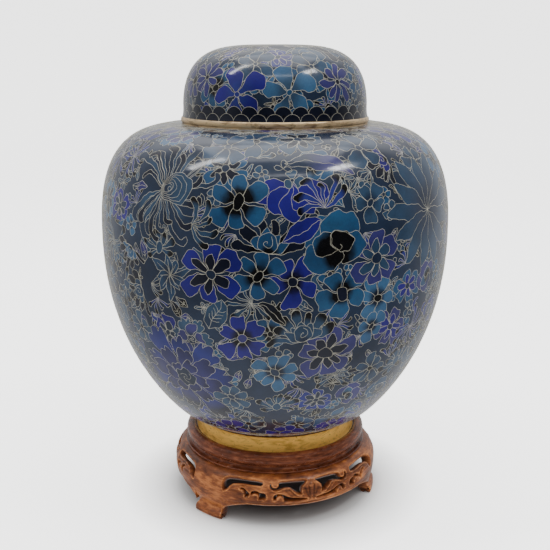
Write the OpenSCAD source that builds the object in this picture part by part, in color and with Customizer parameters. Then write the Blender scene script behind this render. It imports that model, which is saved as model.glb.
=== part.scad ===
// Covered cloisonne jar on a turned and pierced wooden stand.
// Millimetres, +Z up. The origin is on the table under the jar's axis, and the front is -Y.
// Heights are above the table with the jar seated in its stand and the lid on.

/* [Stand] */
// Height of the seat that the jar's foot ring rests on
seat_z = 34.5; // [34:0.1:36]
// Outer radius of the tray's rounded rim
rim_r = 48.3; // [48:0.1:49]
// Radius of the recess that holds the foot ring
recess_r = 43.4; // [43.2:0.1:44]
// Largest radius of the bulging apron
apron_r = 54.8; // [54:0.2:56]
// Height of the apron's lower edge between the legs
apron_z = 11.5; // [10:0.5:12]
// Direction of the front panel's middle, turned from the front towards +X
panel_turn = 20; // [0:0.5:60]
// Half the width of a leg, in degrees round the stand
leg_half = 10; // [9:0.5:11]

/* [Jar] */
// Outer radius of the jar at its widest
belly_r = 89; // [85:0.5:92]
// Height of the widest point
belly_z = 144; // [138:0.5:150]
// Height of the shoulder where it meets the neck
shoulder_z = 197.6; // [196:0.1:200]
// Outer radius of the foot ring
foot_r = 42.3; // [42:0.1:42.8]
// Height at which the enamel ends above the foot ring
foot_line_z = 45.6; // [45:0.2:46.2]
// Outer radius of the neck collar
neck_r = 42; // [41:0.1:42.4]
// Height of the neck's mouth
mouth_z = 211; // [208:0.5:214]

/* [Lid] */
// Outer radius of the lid's straight skirt
lid_r = 46.4; // [46.2:0.1:47]
// Height of the top of the lid
lid_z = 236; // [233:0.1:240]
// Height of the brass ring round the lid's edge
lid_ring_h = 2.9; // [2.5:0.1:3.5]

/* [Walls] */
// Thickness of the enamel on the outside
enamel_t = 1; // [0.8:0.1:1.2]
// Thickness of the copper sheet
copper_t = 1.2; // [1:0.1:1.5]
// Thickness of the enamel inside
lining_t = 0.6; // [0.5:0.1:0.8]

/* [Hidden] */
$fn = 96;

wood = "saddlebrown";
brass = "goldenrod";
copper = "peru";
blue = "midnightblue";
counter = "steelblue";

// Jar outline: a squared shoulder above the belly and a long taper below it.
shoulder_core_r = 36;   // radius at which the shoulder curve ends, inside the neck
shoulder_square_r = 3.66; // squareness of the shoulder, across
shoulder_square_z = 2.53; // squareness of the shoulder, up
taper_end_r = 38.2;     // radius at which the taper curve ends, below the foot line
taper_end_z = 40;
taper_bow_z = 2.138;
taper_bow_r = 1.337;
turn_in_z = 52;         // below this the wall turns in to the foot line
turn_in = 2.3;          // by this much at the foot line
shoulder_steps = 26;
taper_steps = 24;

base_t = 1.6;           // copper disc that closes the bottom
base_r = 43.8;
foot_top_z = foot_line_z - base_t;
foot_wall = 3.5;
ring_seat_r = 47;       // brass ring on the shoulder that the lid rests on
ring_seat_h = 0.5;
neck_wall = 1;
lid_seat_z = shoulder_z + ring_seat_h;
lid_skirt_z = lid_seat_z + lid_ring_h;
lid_flare = 0.5;        // the skirt widens by this much where it meets the ring
lid_straight = 3;       // height of the skirt below the dome
lid_square_r = 3.9;
lid_square_z = 2.48;
lid_ring_r = 47.6;
lid_enamel_t = 0.9;
lid_copper_t = 0.9;
lid_lining_t = 0.5;

tray_floor_z = 30;
tray_lip_h = 2;
tray_edge_h = 1.1;      // height of the recess's edge above the seat
widest_z = 33.5;        // height of the rim's widest line
crest_r = 44.9;         // radius of the rim's crest
spigot_r = 38;
waist_z = 26.4;
waist_r = 46;
bead_r = 48.7;
tongue_turn = 3;        // how far an apron's tongue runs into the leg, in degrees
tongue_r = [50.8, 52.8];
tongue_z = [14.5, 20];
peg_r = 1.5;
peg_at_r = 43;
peg_z = [23.5, 32.5];

panel_half = 60 - leg_half;

// Openings on one half of an apron, mirrored on the other half. Each is a rounded slot:
// [degrees from the middle, start (across, up), end (across, up), radius at start, radius at end]
piercings = [
    [43, [-2.2, 17.8], [2, 18.6], 2.4, 2.1],
    [33.5, [-3.6, 20.2], [2.6, 19.8], 1.2, 1.7],
    [34, [-2.2, 14.6], [2.4, 14.2], 0.9, 1.3],
    [25.5, [-1.6, 14.2], [1.8, 15.2], 0.7, 1.1],
    [21, [-0.6, 19.9], [1.4, 18.9], 0.6, 0.9],
    [12.5, [-3.6, 17.6], [4, 19.8], 1, 1.2],
    [13, [-6, 13.4], [4.4, 13.8], 0.6, 0.9]
];

panels = [for (k = [0:2]) panel_turn + 120 * k];
legs = [for (k = [0:2]) panel_turn - 60 + 120 * k];

// ---- outlines ----

function shoulder_points() = [
    for (i = [0:shoulder_steps])
        let (t = 90 * i / shoulder_steps)
        [
            shoulder_core_r + (belly_r - shoulder_core_r) * pow(cos(t), 2 / shoulder_square_r),
            belly_z + (shoulder_z - belly_z) * pow(sin(t), 2 / shoulder_square_z)
        ]
];

function taper_points() = [
    for (i = [taper_steps:-1:1])
        let (
            h = i / taper_steps,
            z = belly_z - (belly_z - taper_end_z) * h,
            below = max(turn_in_z - z, 0) / (turn_in_z - foot_line_z)
        )
        [
            taper_end_r + (belly_r - taper_end_r) * pow(1 - pow(h, taper_bow_z), 1 / taper_bow_r)
                - turn_in * pow(below, 2),
            z
        ]
];

function jar_points() = concat(taper_points(), shoulder_points());

function lid_points() = concat(
    [[lid_r + lid_flare, lid_skirt_z], [lid_r + lid_flare / 4, lid_skirt_z + lid_straight / 3]],
    [
        for (i = [0:shoulder_steps])
            let (t = 90 * i / shoulder_steps, z = lid_skirt_z + lid_straight)
            [lid_r * pow(cos(t), 2 / lid_square_r), z + (lid_z - z) * pow(sin(t), 2 / lid_square_z)]
    ]
);

// Unit normal that points out of an outline running upwards, at point i.
function outward(path, i) =
    let (a = path[max(i - 1, 0)], b = path[min(i + 1, len(path) - 1)], d = b - a)
    [d[1], -d[0]] / norm(d);

// The outline moved inwards by t. Points that would cross the axis stay on it.
function inset(path, t) = [
    for (i = [0:len(path) - 1])
        let (p = path[i] - t * outward(path, i))
        [max(p[0], 0), p[1]]
];

function reversed(path) = [for (i = [len(path) - 1:-1:0]) path[i]];

// Closed outline of a skin between two depths under an outline.
function skin(path, near, far) = concat(inset(path, near), reversed(inset(path, far)));

// Quarter or longer arc of an ellipse, from angle a to angle b.
function arc(centre, rx, rz, a, b, steps = 8) = [
    for (i = [0:steps])
        let (t = a + (b - a) * i / steps)
        centre + [rx * cos(t), rz * sin(t)]
];

// ---- helpers ----

module sector(turn, half) {
    rotate([0, 0, turn - 90 - half]) rotate_extrude(angle = 2 * half) children();
}

// A straight cut along the radius at this turn, shaped by a flat child in (across, up).
module radial_cut(turn) {
    rotate([0, 0, turn]) translate([0, -44, 0]) rotate([90, 0, 0]) linear_extrude(14) children();
}

// Rounded slot from one point to another, with its own radius at each end.
module slot(from, to, r_from, r_to, steps = 5) {
    heading = atan2(to[1] - from[1], to[0] - from[0]);
    polygon(concat(
        arc(from, r_from, r_from, heading + 90, heading + 270, steps),
        arc(to, r_to, r_to, heading - 90, heading + 90, steps)
    ));
}

// ---- stand ----

module stand_tray() {
    floor_r = waist_r + 0.8;
    lip_z = seat_z + tray_lip_h;
    color(wood)
    difference() {
        union() {
            rotate_extrude() polygon(concat(
                [[0, tray_floor_z]],
                arc([floor_r, widest_z], rim_r - floor_r, widest_z - tray_floor_z, -90, -9, 9),
                arc([crest_r, widest_z], rim_r - crest_r, lip_z - widest_z, 0, 90, 10),
                [[recess_r, seat_z + tray_edge_h], [recess_r, seat_z], [0, seat_z]]
            ));
            translate([0, 0, waist_z]) cylinder(h = tray_floor_z - waist_z, r = spigot_r);
        }
        for (a = legs) peg_hole(a);
    }
}

module stand_waist() {
    color(wood)
    difference() {
        rotate_extrude() polygon(concat(
            [[spigot_r, waist_z], [bead_r - 0.6, waist_z]],
            arc([bead_r - 0.6, waist_z + 0.5], 0.6, 0.5, -90, 90, 6),
            [[waist_r, waist_z + 1.2], [waist_r - 0.4, waist_z + 2.2], [waist_r, tray_floor_z],
             [spigot_r, tray_floor_z]]
        ));
        for (a = legs) peg_hole(a);
    }
}

module peg_hole(a) {
    rotate([0, 0, a]) translate([0, -peg_at_r, peg_z[0]])
        cylinder(h = peg_z[1] - peg_z[0], r = peg_r, $fn = 32);
}

// Outer face of the apron from its lower edge up to the waist.
function apron_face() = concat(
    [[apron_r - 1.2, 4], [apron_r - 0.6, 10], [apron_r - 0.1, 14.5]],
    arc([apron_r - 7.2, 17.5], 7.2, waist_z - 17.5, 0, 80, 10),
    [[47.6, waist_z]]
);

module apron(turn) {
    color(wood)
    difference() {
        union() {
            sector(turn, panel_half) polygon(concat(
                apron_face(),
                [[spigot_r, waist_z], [spigot_r, 22.6], [47.2, 22.2], [49.4, 20], [50, 16.5],
                 [49.8, 10], [49.3, 4]]
            ));
            sector(turn, panel_half + tongue_turn) tongue_outline();
        }
        radial_cut(turn) arch();
        for (side = [-1, 1]) for (cut = piercings)
            radial_cut(turn + side * cut[0])
                slot([side * cut[1][0], cut[1][1]], [side * cut[2][0], cut[2][1]], cut[3], cut[4]);
    }
}

module tongue_outline() {
    translate([tongue_r[0], tongue_z[0]]) square([tongue_r[1] - tongue_r[0], tongue_z[1] - tongue_z[0]]);
}

// Space under the apron: level in the middle, swept down towards each leg.
module arch() {
    level = 27.3;
    foot = 44.3;
    drop = apron_z - 6.4;
    left = [for (i = [0:8]) let (k = i / 8) [-foot + (foot - level) * k, 6.4 + drop * pow(k, 0.6)]];
    right = [for (i = [8:-1:0]) [-left[i][0], left[i][1]]];
    polygon(concat([[-foot, -1]], left, right, [[foot, -1]]));
}

module leg(turn) {
    color(wood)
    difference() {
        sector(turn, leg_half) polygon(concat(
            [[46, 0], [apron_r, 0], [apron_r, 3], [apron_r - 0.8, 3.9], [52, 4.4],
             [52.2, 6.4], [apron_r - 1, 9], [apron_r - 0.6, 10], [apron_r - 0.1, 14.5]],
            arc([apron_r - 7.2, 17.5], 7.2, waist_z - 17.5, 0, 80, 10),
            [[47.6, waist_z], [spigot_r, waist_z], [spigot_r, 22.6], [47.2, 22.2], [49.4, 20],
             [50, 16.5], [49.8, 10], [46.6, 6.4], [46, 4.4]]
        ));
        for (side = [-1, 1])
            sector(turn + side * (leg_half - tongue_turn / 2), tongue_turn / 2) tongue_outline();
        peg_hole(turn);
    }
}

module leg_pegs() {
    color(wood) for (a = legs) peg_hole(a);
}

// ---- jar ----

module above_foot_line() {
    difference() {
        children();
        translate([0, 0, foot_line_z - 20]) cylinder(h = 20, r = belly_r);
    }
}

module foot_ring() {
    mid_z = (seat_z + foot_top_z) / 2;
    color(brass)
    rotate_extrude() polygon([
        [foot_r - foot_wall, seat_z], [foot_r - 0.5, seat_z], [foot_r, seat_z + 0.6],
        [foot_r - 0.5, mid_z], [foot_r - 0.1, foot_top_z - 0.5], [foot_r, foot_top_z],
        [foot_r - foot_wall, foot_top_z]
    ]);
}

module jar_base() {
    color(copper) translate([0, 0, foot_top_z]) cylinder(h = base_t, r = base_r);
}

module base_enamel() {
    color(counter) translate([0, 0, foot_top_z - lining_t]) cylinder(h = lining_t, r = foot_r - foot_wall);
}

module jar_shell() {
    color(copper)
    difference() {
        above_foot_line()
            rotate_extrude() polygon(skin(jar_points(), enamel_t, enamel_t + copper_t));
        translate([0, 0, belly_z]) cylinder(h = 90, r = neck_r);
    }
}

module jar_enamel() {
    color(blue)
    difference() {
        above_foot_line()
            rotate_extrude() polygon(skin(jar_points(), 0, enamel_t));
        translate([0, 0, belly_z]) cylinder(h = 90, r = ring_seat_r);
    }
}

// Everything inside the jar's outline at a depth under it, above a floor.
module jar_inside(depth, floor_z) {
    outline = inset(jar_points(), depth);
    difference() {
        rotate_extrude() polygon(concat([[0, outline[0][1]]], outline, [[0, shoulder_z - depth]]));
        translate([0, 0, floor_z - 20]) cylinder(h = 20, r = belly_r);
    }
}

module jar_lining() {
    depth = enamel_t + copper_t;
    color(counter)
    difference() {
        jar_inside(depth, foot_line_z);
        jar_inside(depth + lining_t, foot_line_z + lining_t);
        translate([0, 0, belly_z]) cylinder(h = 90, r = neck_r);
    }
}

module neck_collar() {
    bottom_z = shoulder_z - enamel_t - copper_t - lining_t;
    color(brass)
    difference() {
        translate([0, 0, bottom_z]) cylinder(h = mouth_z - 1 - bottom_z, r = neck_r);
        translate([0, 0, bottom_z - 1]) cylinder(h = mouth_z, r = neck_r - neck_wall);
    }
}

module shoulder_ring() {
    bottom_z = shoulder_z - enamel_t;
    color(brass)
    difference() {
        translate([0, 0, bottom_z]) cylinder(h = lid_seat_z - bottom_z, r = ring_seat_r);
        translate([0, 0, bottom_z - 1]) cylinder(h = 5, r = neck_r);
    }
}

module mouth_rim() {
    color(brass)
    rotate_extrude() polygon(concat(
        [[neck_r - neck_wall, mouth_z - 1]],
        arc([neck_r - neck_wall / 2, mouth_z - 0.4], 1, 0.6, -30, 180, 12)
    ));
}

// ---- lid ----

module lid_rim() {
    mid_z = lid_seat_z + lid_ring_h / 2;
    inner_r = lid_r + lid_flare - lid_enamel_t - lid_copper_t - lid_lining_t;
    color(brass)
    rotate_extrude() polygon(concat(
        [[inner_r, lid_seat_z]],
        arc([lid_ring_r - 0.9, mid_z], 0.9, lid_ring_h / 2, -90, 90, 10),
        [[inner_r, lid_skirt_z]]
    ));
}

module lid_skin(near, far) {
    difference() {
        rotate_extrude() polygon(skin(lid_points(), near, far));
        translate([0, 0, lid_skirt_z - 20]) cylinder(h = 20, r = belly_r);
    }
}

module lid_shell() {
    color(copper) lid_skin(lid_enamel_t, lid_enamel_t + lid_copper_t);
}

module lid_enamel() {
    color(blue) lid_skin(0, lid_enamel_t);
}

module lid_lining() {
    depth = lid_enamel_t + lid_copper_t;
    color(counter) lid_skin(depth, depth + lid_lining_t);
}

stand_tray();
stand_waist();
apron(panels[0]);  // apron_front
apron(panels[1]);  // apron_rear
apron(panels[2]);  // apron_left
leg(legs[0]);  // leg_left
leg(legs[1]);  // leg_right
leg(legs[2]);  // leg_rear
leg_pegs();
foot_ring();
jar_base();
base_enamel();
jar_shell();
jar_enamel();
jar_lining();
neck_collar();
shoulder_ring();
mouth_rim();
lid_rim();
lid_shell();
lid_enamel();
lid_lining();
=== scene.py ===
"""Looks of a covered cloisonne jar on a carved wooden stand.

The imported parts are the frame. Everything here is built round them, in metres, with the jar's axis
on Z and the front at -Y. Patterns are worked in millimetres on the unrolled outline.
"""

import cmath
import logging
import math
import random
from dataclasses import dataclass, field
from enum import Enum
from typing import Callable, Iterable, Sequence

import bpy
import numpy as np
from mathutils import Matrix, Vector
from mathutils.geometry import delaunay_2d_cdt


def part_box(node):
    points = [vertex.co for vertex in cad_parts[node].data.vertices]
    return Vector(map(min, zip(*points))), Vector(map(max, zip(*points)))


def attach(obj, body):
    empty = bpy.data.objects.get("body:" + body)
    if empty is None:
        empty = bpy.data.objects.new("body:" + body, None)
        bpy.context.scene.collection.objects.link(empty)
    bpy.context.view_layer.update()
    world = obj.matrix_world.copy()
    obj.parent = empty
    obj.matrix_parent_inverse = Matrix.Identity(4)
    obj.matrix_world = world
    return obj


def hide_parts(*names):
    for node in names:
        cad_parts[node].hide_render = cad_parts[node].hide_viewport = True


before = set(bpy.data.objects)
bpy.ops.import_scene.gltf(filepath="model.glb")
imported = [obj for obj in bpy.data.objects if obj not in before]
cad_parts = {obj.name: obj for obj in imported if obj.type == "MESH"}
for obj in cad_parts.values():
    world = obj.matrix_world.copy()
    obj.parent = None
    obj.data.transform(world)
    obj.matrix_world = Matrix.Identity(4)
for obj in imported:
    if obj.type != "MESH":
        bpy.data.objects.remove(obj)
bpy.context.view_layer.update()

log = logging.getLogger("jar")

MM = 0.001
FULL_TURN = 2 * math.pi
Colour = tuple[float, float, float]
Outline = list[complex]


# ---------------------------------------------------------------- colours and finishes


class Glass(Enum):
    """The enamels in the maker's trays, as linear colours."""

    COBALT = (0.009, 0.004, 0.142)
    ROYAL = (0.014, 0.02, 0.155)
    VIOLET = (0.026, 0.024, 0.115)
    TEAL = (0.011, 0.055, 0.125)
    SKY = (0.028, 0.088, 0.175)
    STEEL = (0.02, 0.048, 0.092)
    SLATE = (0.011, 0.021, 0.046)
    NIGHT = (0.004, 0.006, 0.017)
    BLACK = (0.002, 0.002, 0.003)


@dataclass(frozen=True)
class Firing:
    """How one cell is filled: glass at its root, glass at its tip, and where one gives way to the other.

    Args:
        root: glass next to the petal's root.
        tip: glass at its far end.
        split: share of the length at which the glasses meet.
        blend: share of the length over which they mix.
    """

    root: Glass
    tip: Glass
    split: float = 0.5
    blend: float = 0.12


def plain(glass: Glass) -> Firing:
    """A cell filled with one glass."""
    return Firing(glass, glass)


# ---------------------------------------------------------------- outlines of revolution


class Surface:
    """A turned surface that a pattern is drawn on.

    Distances s run along the outline from its upper edge, in millimetres. Azimuth is measured from
    the front towards +X, in radians. A flat map of the surface carries the pattern while its cells
    are cut against each other.
    """

    samples = 3000

    def __init__(self, radii: np.ndarray, heights: np.ndarray) -> None:
        """Tabulates the outline.

        Args:
            radii: radius at each point, from the upper edge down.
            heights: height at each point.
        """
        steps = np.hypot(np.diff(radii), np.diff(heights))
        along = np.concatenate(([0.0], np.cumsum(steps)))
        self.length = float(along[-1])
        self.s = np.linspace(0.0, self.length, self.samples)
        self.r = np.interp(self.s, along, radii)
        self.z = np.interp(self.s, along, heights)
        self.nr = -np.gradient(self.z, self.s)
        self.nz = np.gradient(self.r, self.s)
        size = np.hypot(self.nr, self.nz)
        self.nr /= size
        self.nz /= size
        self.rho = self.map_radii()

    def map_radii(self) -> np.ndarray:
        """Radius on the flat map for every tabulated s."""
        raise NotImplementedError

    def radius(self, s: float) -> float:
        """Radius of the surface at s."""
        return float(np.interp(s, self.s, self.r))

    def at_height(self, z: float) -> float:
        """Distance s of the point at a height."""
        return float(np.interp(-z, -self.z, self.s))

    def spot(self, azimuth: float, s: float, point: complex) -> complex:
        """Flat-map position of a motif's point.

        Args:
            azimuth: the motif's azimuth in radians.
            s: its distance along the outline.
            point: the point relative to the motif's centre, right and up.

        Returns:
            The position on the flat map.
        """
        raise NotImplementedError

    def lift(self, flat: np.ndarray) -> tuple[np.ndarray, np.ndarray]:
        """Puts flat-map points back on the surface.

        Args:
            flat: n by 2 map positions.

        Returns:
            Positions in millimetres and unit normals, both n by 3.
        """
        rho = np.hypot(flat[:, 0], flat[:, 1])
        azimuth = np.arctan2(flat[:, 1], flat[:, 0])
        s = np.interp(rho, self.rho, self.s) if self.rho[0] < self.rho[-1] else \
            np.interp(rho, self.rho[::-1], self.s[::-1])
        r, z, nr, nz = (np.interp(s, self.s, table) for table in (self.r, self.z, self.nr, self.nz))
        east, south = np.sin(azimuth), -np.cos(azimuth)
        return (np.stack([r * east, r * south, z], 1), np.stack([nr * east, nr * south, nz], 1))


class JarSurface(Surface):
    """The jar's outside, from the shoulder ring down to the foot. Its flat map keeps angles."""

    def map_radii(self) -> np.ndarray:
        """Radius grows so that the map has the same scale both ways everywhere."""
        step = self.s[1] - self.s[0]
        growth = np.concatenate(([0.0], np.cumsum(step / (0.5 * (self.r[1:] + self.r[:-1])))))
        return self.r[0] * np.exp(growth)

    def spot(self, azimuth: float, s: float, point: complex) -> complex:
        """Flat-map position of a motif's point."""
        down = s - point.imag
        inside = min(max(down, 0.0), self.length)
        r = self.radius(inside)
        rho = float(np.interp(inside, self.s, self.rho)) * math.exp((down - inside) / r)
        return cmath.rect(rho, azimuth + point.real / r)


class LidSurface(Surface):
    """The lid's outside. The upper end is the pole, and the flat map keeps distances from it."""

    def map_radii(self) -> np.ndarray:
        """Radius on the map is the distance from the pole."""
        return self.s.copy()

    def spot(self, azimuth: float, s: float, point: complex) -> complex:
        """Flat-map position of a motif's point."""
        stretch = max(s, 1.0) / max(self.radius(s), 1.0)
        return cmath.rect(1.0, azimuth) * complex(s - point.imag, point.real * stretch)


# ---------------------------------------------------------------- shapes bent from wire


def ribbon(length: float, half: Callable[[float], float], heading: Callable[[float], float],
           steps: int = 10) -> Outline:
    """Closed outline round a bent centre line that starts at the origin and sets off to the right.

    Args:
        length: length of the centre line.
        half: half width at each share of the length.
        heading: direction of the centre line at each share, in radians.
        steps: number of stretches.

    Returns:
        The outline, up one side and back along the other.
    """
    centre = 0j
    left: Outline = []
    right: Outline = []
    for i in range(steps + 1):
        t = i / steps
        if i:
            centre += cmath.rect(length / steps, heading(t - 0.5 / steps))
        side = cmath.rect(half(t), heading(t) + math.pi / 2)
        left.append(centre + side)
        right.append(centre - side)
    return right + left[::-1] if abs(left[-1] - right[-1]) > 0.05 else right + left[-2::-1]


def petal(length: float, width: float, fullness: float = 1.25, blunt: float = 0.7, bend: float = 0.0,
          steps: int = 9) -> Outline:
    """A petal whose root is at the origin and whose tip lies to the right.

    Args:
        length: from root to tip.
        width: greatest width.
        fullness: over 1 moves the greatest width towards the tip.
        blunt: under 1 rounds the tip.
        bend: how far the tip turns, in radians.
        steps: number of stretches a side.

    Returns:
        The outline.
    """
    return ribbon(length, lambda t: width / 2 * max(math.sin(math.pi * t ** fullness), 0.0) ** blunt + 0.02,
                  lambda t: bend * t, steps)


def notched(outline: Outline, length: float, width: float, depth: float) -> Outline:
    """The outline with its tip pushed in, like a heart."""
    return [complex(p.real * (1 - depth * math.exp(-(p.imag / (0.2 * width)) ** 2) * (p.real / length) ** 4),
                    p.imag) for p in outline]


def frilled(outline: Outline, centre: complex, depth: float, lobes: int) -> Outline:
    """The outline with small lobes all round."""
    return [centre + (p - centre) * (1 + depth * math.cos(lobes * cmath.phase(p - centre))) for p in outline]


def closer(outline: Outline, spacing: float = 1.3) -> Outline:
    """The outline with points added along its long stretches."""
    result: Outline = []
    for i, p in enumerate(outline):
        q = outline[(i + 1) % len(outline)]
        parts = max(1, round(abs(q - p) / spacing))
        result += [p + (q - p) * k / parts for k in range(parts)]
    return result


def spaced(outline: Outline, least: float) -> Outline:
    """The outline without points that lie closer than this to the one before."""
    kept = outline[:1]
    for p in outline[1:]:
        if abs(p - kept[-1]) >= least:
            kept.append(p)
    return kept if len(kept) > 4 else outline


def ring(radius: float, count: int = 12, squash: float = 1.0) -> Outline:
    """A circle, or an oval where squash isn't 1."""
    return [complex(radius * math.cos(a), radius * squash * math.sin(a))
            for a in (FULL_TURN * i / count for i in range(count))]


def smoothed(outline: Outline, rounds: int = 2, closed: bool = True) -> Outline:
    """The outline with its corners cut off again and again."""
    for _ in range(rounds):
        pairs = zip(outline, [*outline[1:], *(outline[:1] if closed else [])])
        cut = [point for p, q in pairs for point in (0.78 * p + 0.22 * q, 0.22 * p + 0.78 * q)]
        outline = cut if closed else [outline[0], *cut[1:-1], outline[-1]]
    return outline


def hook(length: float, width: float, bend: float, curl: float, steps: int = 14) -> Outline:
    """A streamer that widens and then curls over at its end."""
    return ribbon(
        length,
        lambda t: width / 2 * (0.12 + 0.88 * t ** 1.2) * min(1.0, 6.5 * (1.0 - t)) ** 0.5 + 0.02,
        lambda t: bend * t + curl * max(0.0, (t - 0.68) / 0.32) ** 1.5,
        steps)


def spiral(start: float, end: float, turns: float, steps: int = 16) -> Outline:
    """Points of an open spiral."""
    return [cmath.rect(start + (end - start) * i / steps, FULL_TURN * turns * i / steps)
            for i in range(steps + 1)]


@dataclass
class Cell:
    """One closed cell, or one open wire where it has no firing.

    Args:
        outline: its points, relative to its motif's centre.
        firing: how it is filled, or None for an open wire.
        root: where the firing starts.
        reach: the distance over which it runs.
    """

    outline: Outline
    firing: Firing | None
    root: complex = 0j
    reach: float = 1.0

    def turned(self, angle: float, scale: float = 1.0, shift: complex = 0j) -> "Cell":
        """A copy turned and scaled about the centre, and then shifted."""
        spin = cmath.rect(scale, angle)
        return Cell([p * spin + shift for p in self.outline], self.firing, self.root * spin + shift,
                    self.reach * scale)


Motif = list[Cell]


def blossom(radius: float, firing: Firing, count: int = 5, width: float = 1.15, notch: float = 0.12,
            heart: Glass = Glass.BLACK, core: float = 0.17, inner: Firing | None = None,
            start: float = 0.3, squash: float = 1.0) -> Motif:
    """A flower of full petals round a small centre.

    Args:
        radius: from the centre to the tips.
        firing: of the petals.
        count: number of petals.
        width: a petal's width against its share of the circle.
        notch: depth of the dent in each tip.
        heart: glass in the centre.
        core: size of the centre against the radius.
        inner: firing of a second, smaller petal inside each petal.
        start: direction of the first petal.
        squash: under 1 flattens the centre.

    Returns:
        The flower's cells.
    """
    wide = width * radius * 2 * math.sin(math.pi / count) * 0.62
    leafage = notched(petal(radius, wide, 1.8, 0.62), radius, wide, notch)
    one = [Cell(leafage, firing, 0j, radius)]
    if inner:
        one.append(Cell([p * 0.66 for p in petal(radius, wide * 0.72, 1.4, 0.7)], inner, 0j, radius * 0.66))
    cells = [cell.turned(start + FULL_TURN * k / count + 0.1 * math.sin(1.9 * k + 5 * start),
                         1 + 0.11 * math.sin(2.3 * k + 3 * start)) for k in range(count) for cell in one]
    return cells + [Cell(ring(radius * core, 9, squash), plain(heart))]


def streamers(radius: float, count: int, firing: Firing, width: float, bend: float, curl: float,
              start: float, sweep: float, vary: float = 0.12) -> Motif:
    """Long hooked petals that burst from one point."""
    cells: Motif = []
    for k in range(count):
        size = radius * (1 + vary * math.sin(2.4 * k))
        one = Cell(hook(size, width * (1 + 0.25 * math.sin(1.7 * k + 1)), bend, curl), firing, 0j, size)
        cells.append(one.turned(start + sweep * k / max(count - 1, 1)))
    return cells


def rays(radius: float, count: int, firing: Firing, width: float, start: float = 0.0,
         sweep: float = FULL_TURN, vary: float = 0.15) -> Motif:
    """Plain pointed petals that radiate from one point."""
    cells: Motif = []
    for k in range(count):
        size = radius * (1 + vary * math.sin(3.1 * k + 0.6))
        cells.append(Cell(petal(size, width, 1.3, 0.8), firing, 0j, size).turned(start + sweep * k / count))
    return cells


def shell(radius: float, firing: Firing, bands: int = 4, turn: float = 0.0) -> Motif:
    """Nested crescents that all spring from one point."""
    cells: Motif = []
    for k in range(bands):
        size = radius * (1 - k / (bands + 0.6))
        outline = [p * size + size * 0.42 for p in ring(0.55, 16, 0.86)]
        cells.append(Cell(frilled(outline, size * 0.42, 0.035, 5), firing, 0j, size).turned(turn))
    cells.append(Cell([p + radius * 0.2 for p in spiral(0.3, radius * 0.16, 1.3)], None).turned(turn))
    return cells


def cloud(length: float, spread: float, lobes: int = 3, depth: float = 0.15) -> Outline:
    """A petal that opens like a fan to a broad scalloped tip.

    Args:
        length: from root to tip.
        spread: angle it opens to, in radians.
        lobes: number of scallops.
        depth: of the scallops against the length.

    Returns:
        The outline.
    """
    tip = [cmath.rect(length * (0.76 + 0.24 * math.sin(math.pi * t) ** 0.6 - depth * (
        1 - abs(math.sin(math.pi * lobes * t)) ** 0.6)), spread * (t - 0.5))
        for t in (i / 24 for i in range(25))]
    sides = [cmath.rect(length * reach, spread * share) for reach, share in ((0.16, 0.1), (0.42, 0.4))]
    return [0.02 * length + 0j, *[p.conjugate() for p in sides], *tip, *reversed(sides)]


def peony(radius: float, outer: Firing, inner: Firing, rings: int = 3, count: int = 9) -> Motif:
    """Rings of scalloped petals that overlap inwards, with stamens in the middle."""
    cells: Motif = []
    for k in range(rings):
        size = radius * (1 - 0.3 * k)
        number = count - 2 * k
        for j in range(number):
            reach = size * (1 + 0.12 * math.sin(2.6 * j + k))
            lobes, firing = (3, outer) if k == 0 else (2, inner)
            one = Cell(cloud(reach, 0.94 * FULL_TURN / number, lobes), firing, 0j, reach)
            cells.append(one.turned(FULL_TURN * j / number + 0.4 * k))
    cells.append(Cell(frilled(ring(radius * 0.2, 16), 0j, 0.14, 6), plain(Glass.SLATE)))
    return cells + [Cell([p * radius * 0.13 for p in spiral(0.15, 1, 0.4, 4)], None).turned(a)
                    for a in (0.0, 2.1, 4.2)]


def rose(radius: float, outer: Firing, inner: Firing) -> Motif:
    """Broad frilled petals wound round each other, seen from one side."""
    cells: Motif = []
    for angle, size, reach in ((2.5, 1.0, 0.42), (1.2, 0.95, 0.4), (-0.2, 0.8, 0.36), (3.9, 0.9, 0.4),
                               (3.1, 0.62, 0.25), (0.5, 0.55, 0.2)):
        middle = cmath.rect(radius * reach, angle)
        outline = [middle + p for p in frilled(ring(radius * size * 0.55, 18, 0.86), 0j, 0.06, 7)]
        cells.append(Cell(outline, outer if size > 0.7 else inner, 0.25 * radius * cmath.rect(1, -1.2),
                          radius))
    cells.append(Cell([p + radius * 0.08 for p in spiral(0.4, radius * 0.42, -0.95)], None))
    return cells


def leaf(length: float, width: float, firing: Firing, veins: int = 4, bend: float = 0.4) -> Motif:
    """A pointed leaf with a midrib and side veins."""
    cells = [Cell(petal(length, width, 0.85, 0.9, bend), firing, 0j, length)]
    spine = [p for p in ribbon(length * 0.94, lambda t: 0.0, lambda t: bend * t, 8)[:9]]
    cells.append(Cell(spine, None))
    for k in range(veins):
        base = spine[2 + k]
        for side in (-1, 1):
            rib = cmath.rect(width * 0.36, bend * (2 + k) / 8 + side * 0.85)
            cells.append(Cell([base, base + rib * 0.55, base + rib], None))
    return cells


def scroll(size: float, firing: Firing, turn: float = 1.0) -> Motif:
    """A cloud curl: a fat comma that winds in on itself."""
    return [Cell(ribbon(size * 3, lambda t: size * 0.32 * math.sin(math.pi * (0.12 + 0.86 * t)) ** 0.6,
                        lambda t: turn * (0.4 + 3.4 * t * t), 14), firing, 0j, size * 2)]


def trefoil(size: float) -> Motif:
    """Three small open loops of wire."""
    loop = petal(size, size * 0.62, 1.2, 0.8, steps=5)
    return [Cell(loop + loop[:1], None).turned(a) for a in (math.pi / 2, math.pi, 0.0)]


def berries(size: float, glass: Glass) -> Motif:
    """A small cluster of round berries."""
    return [Cell([p + shift * size for p in ring(size * 0.5, 10)], plain(glass), 0j, size)
            for shift in (0j, 1 + 0.2j, 0.45 + 0.95j)]


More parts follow.
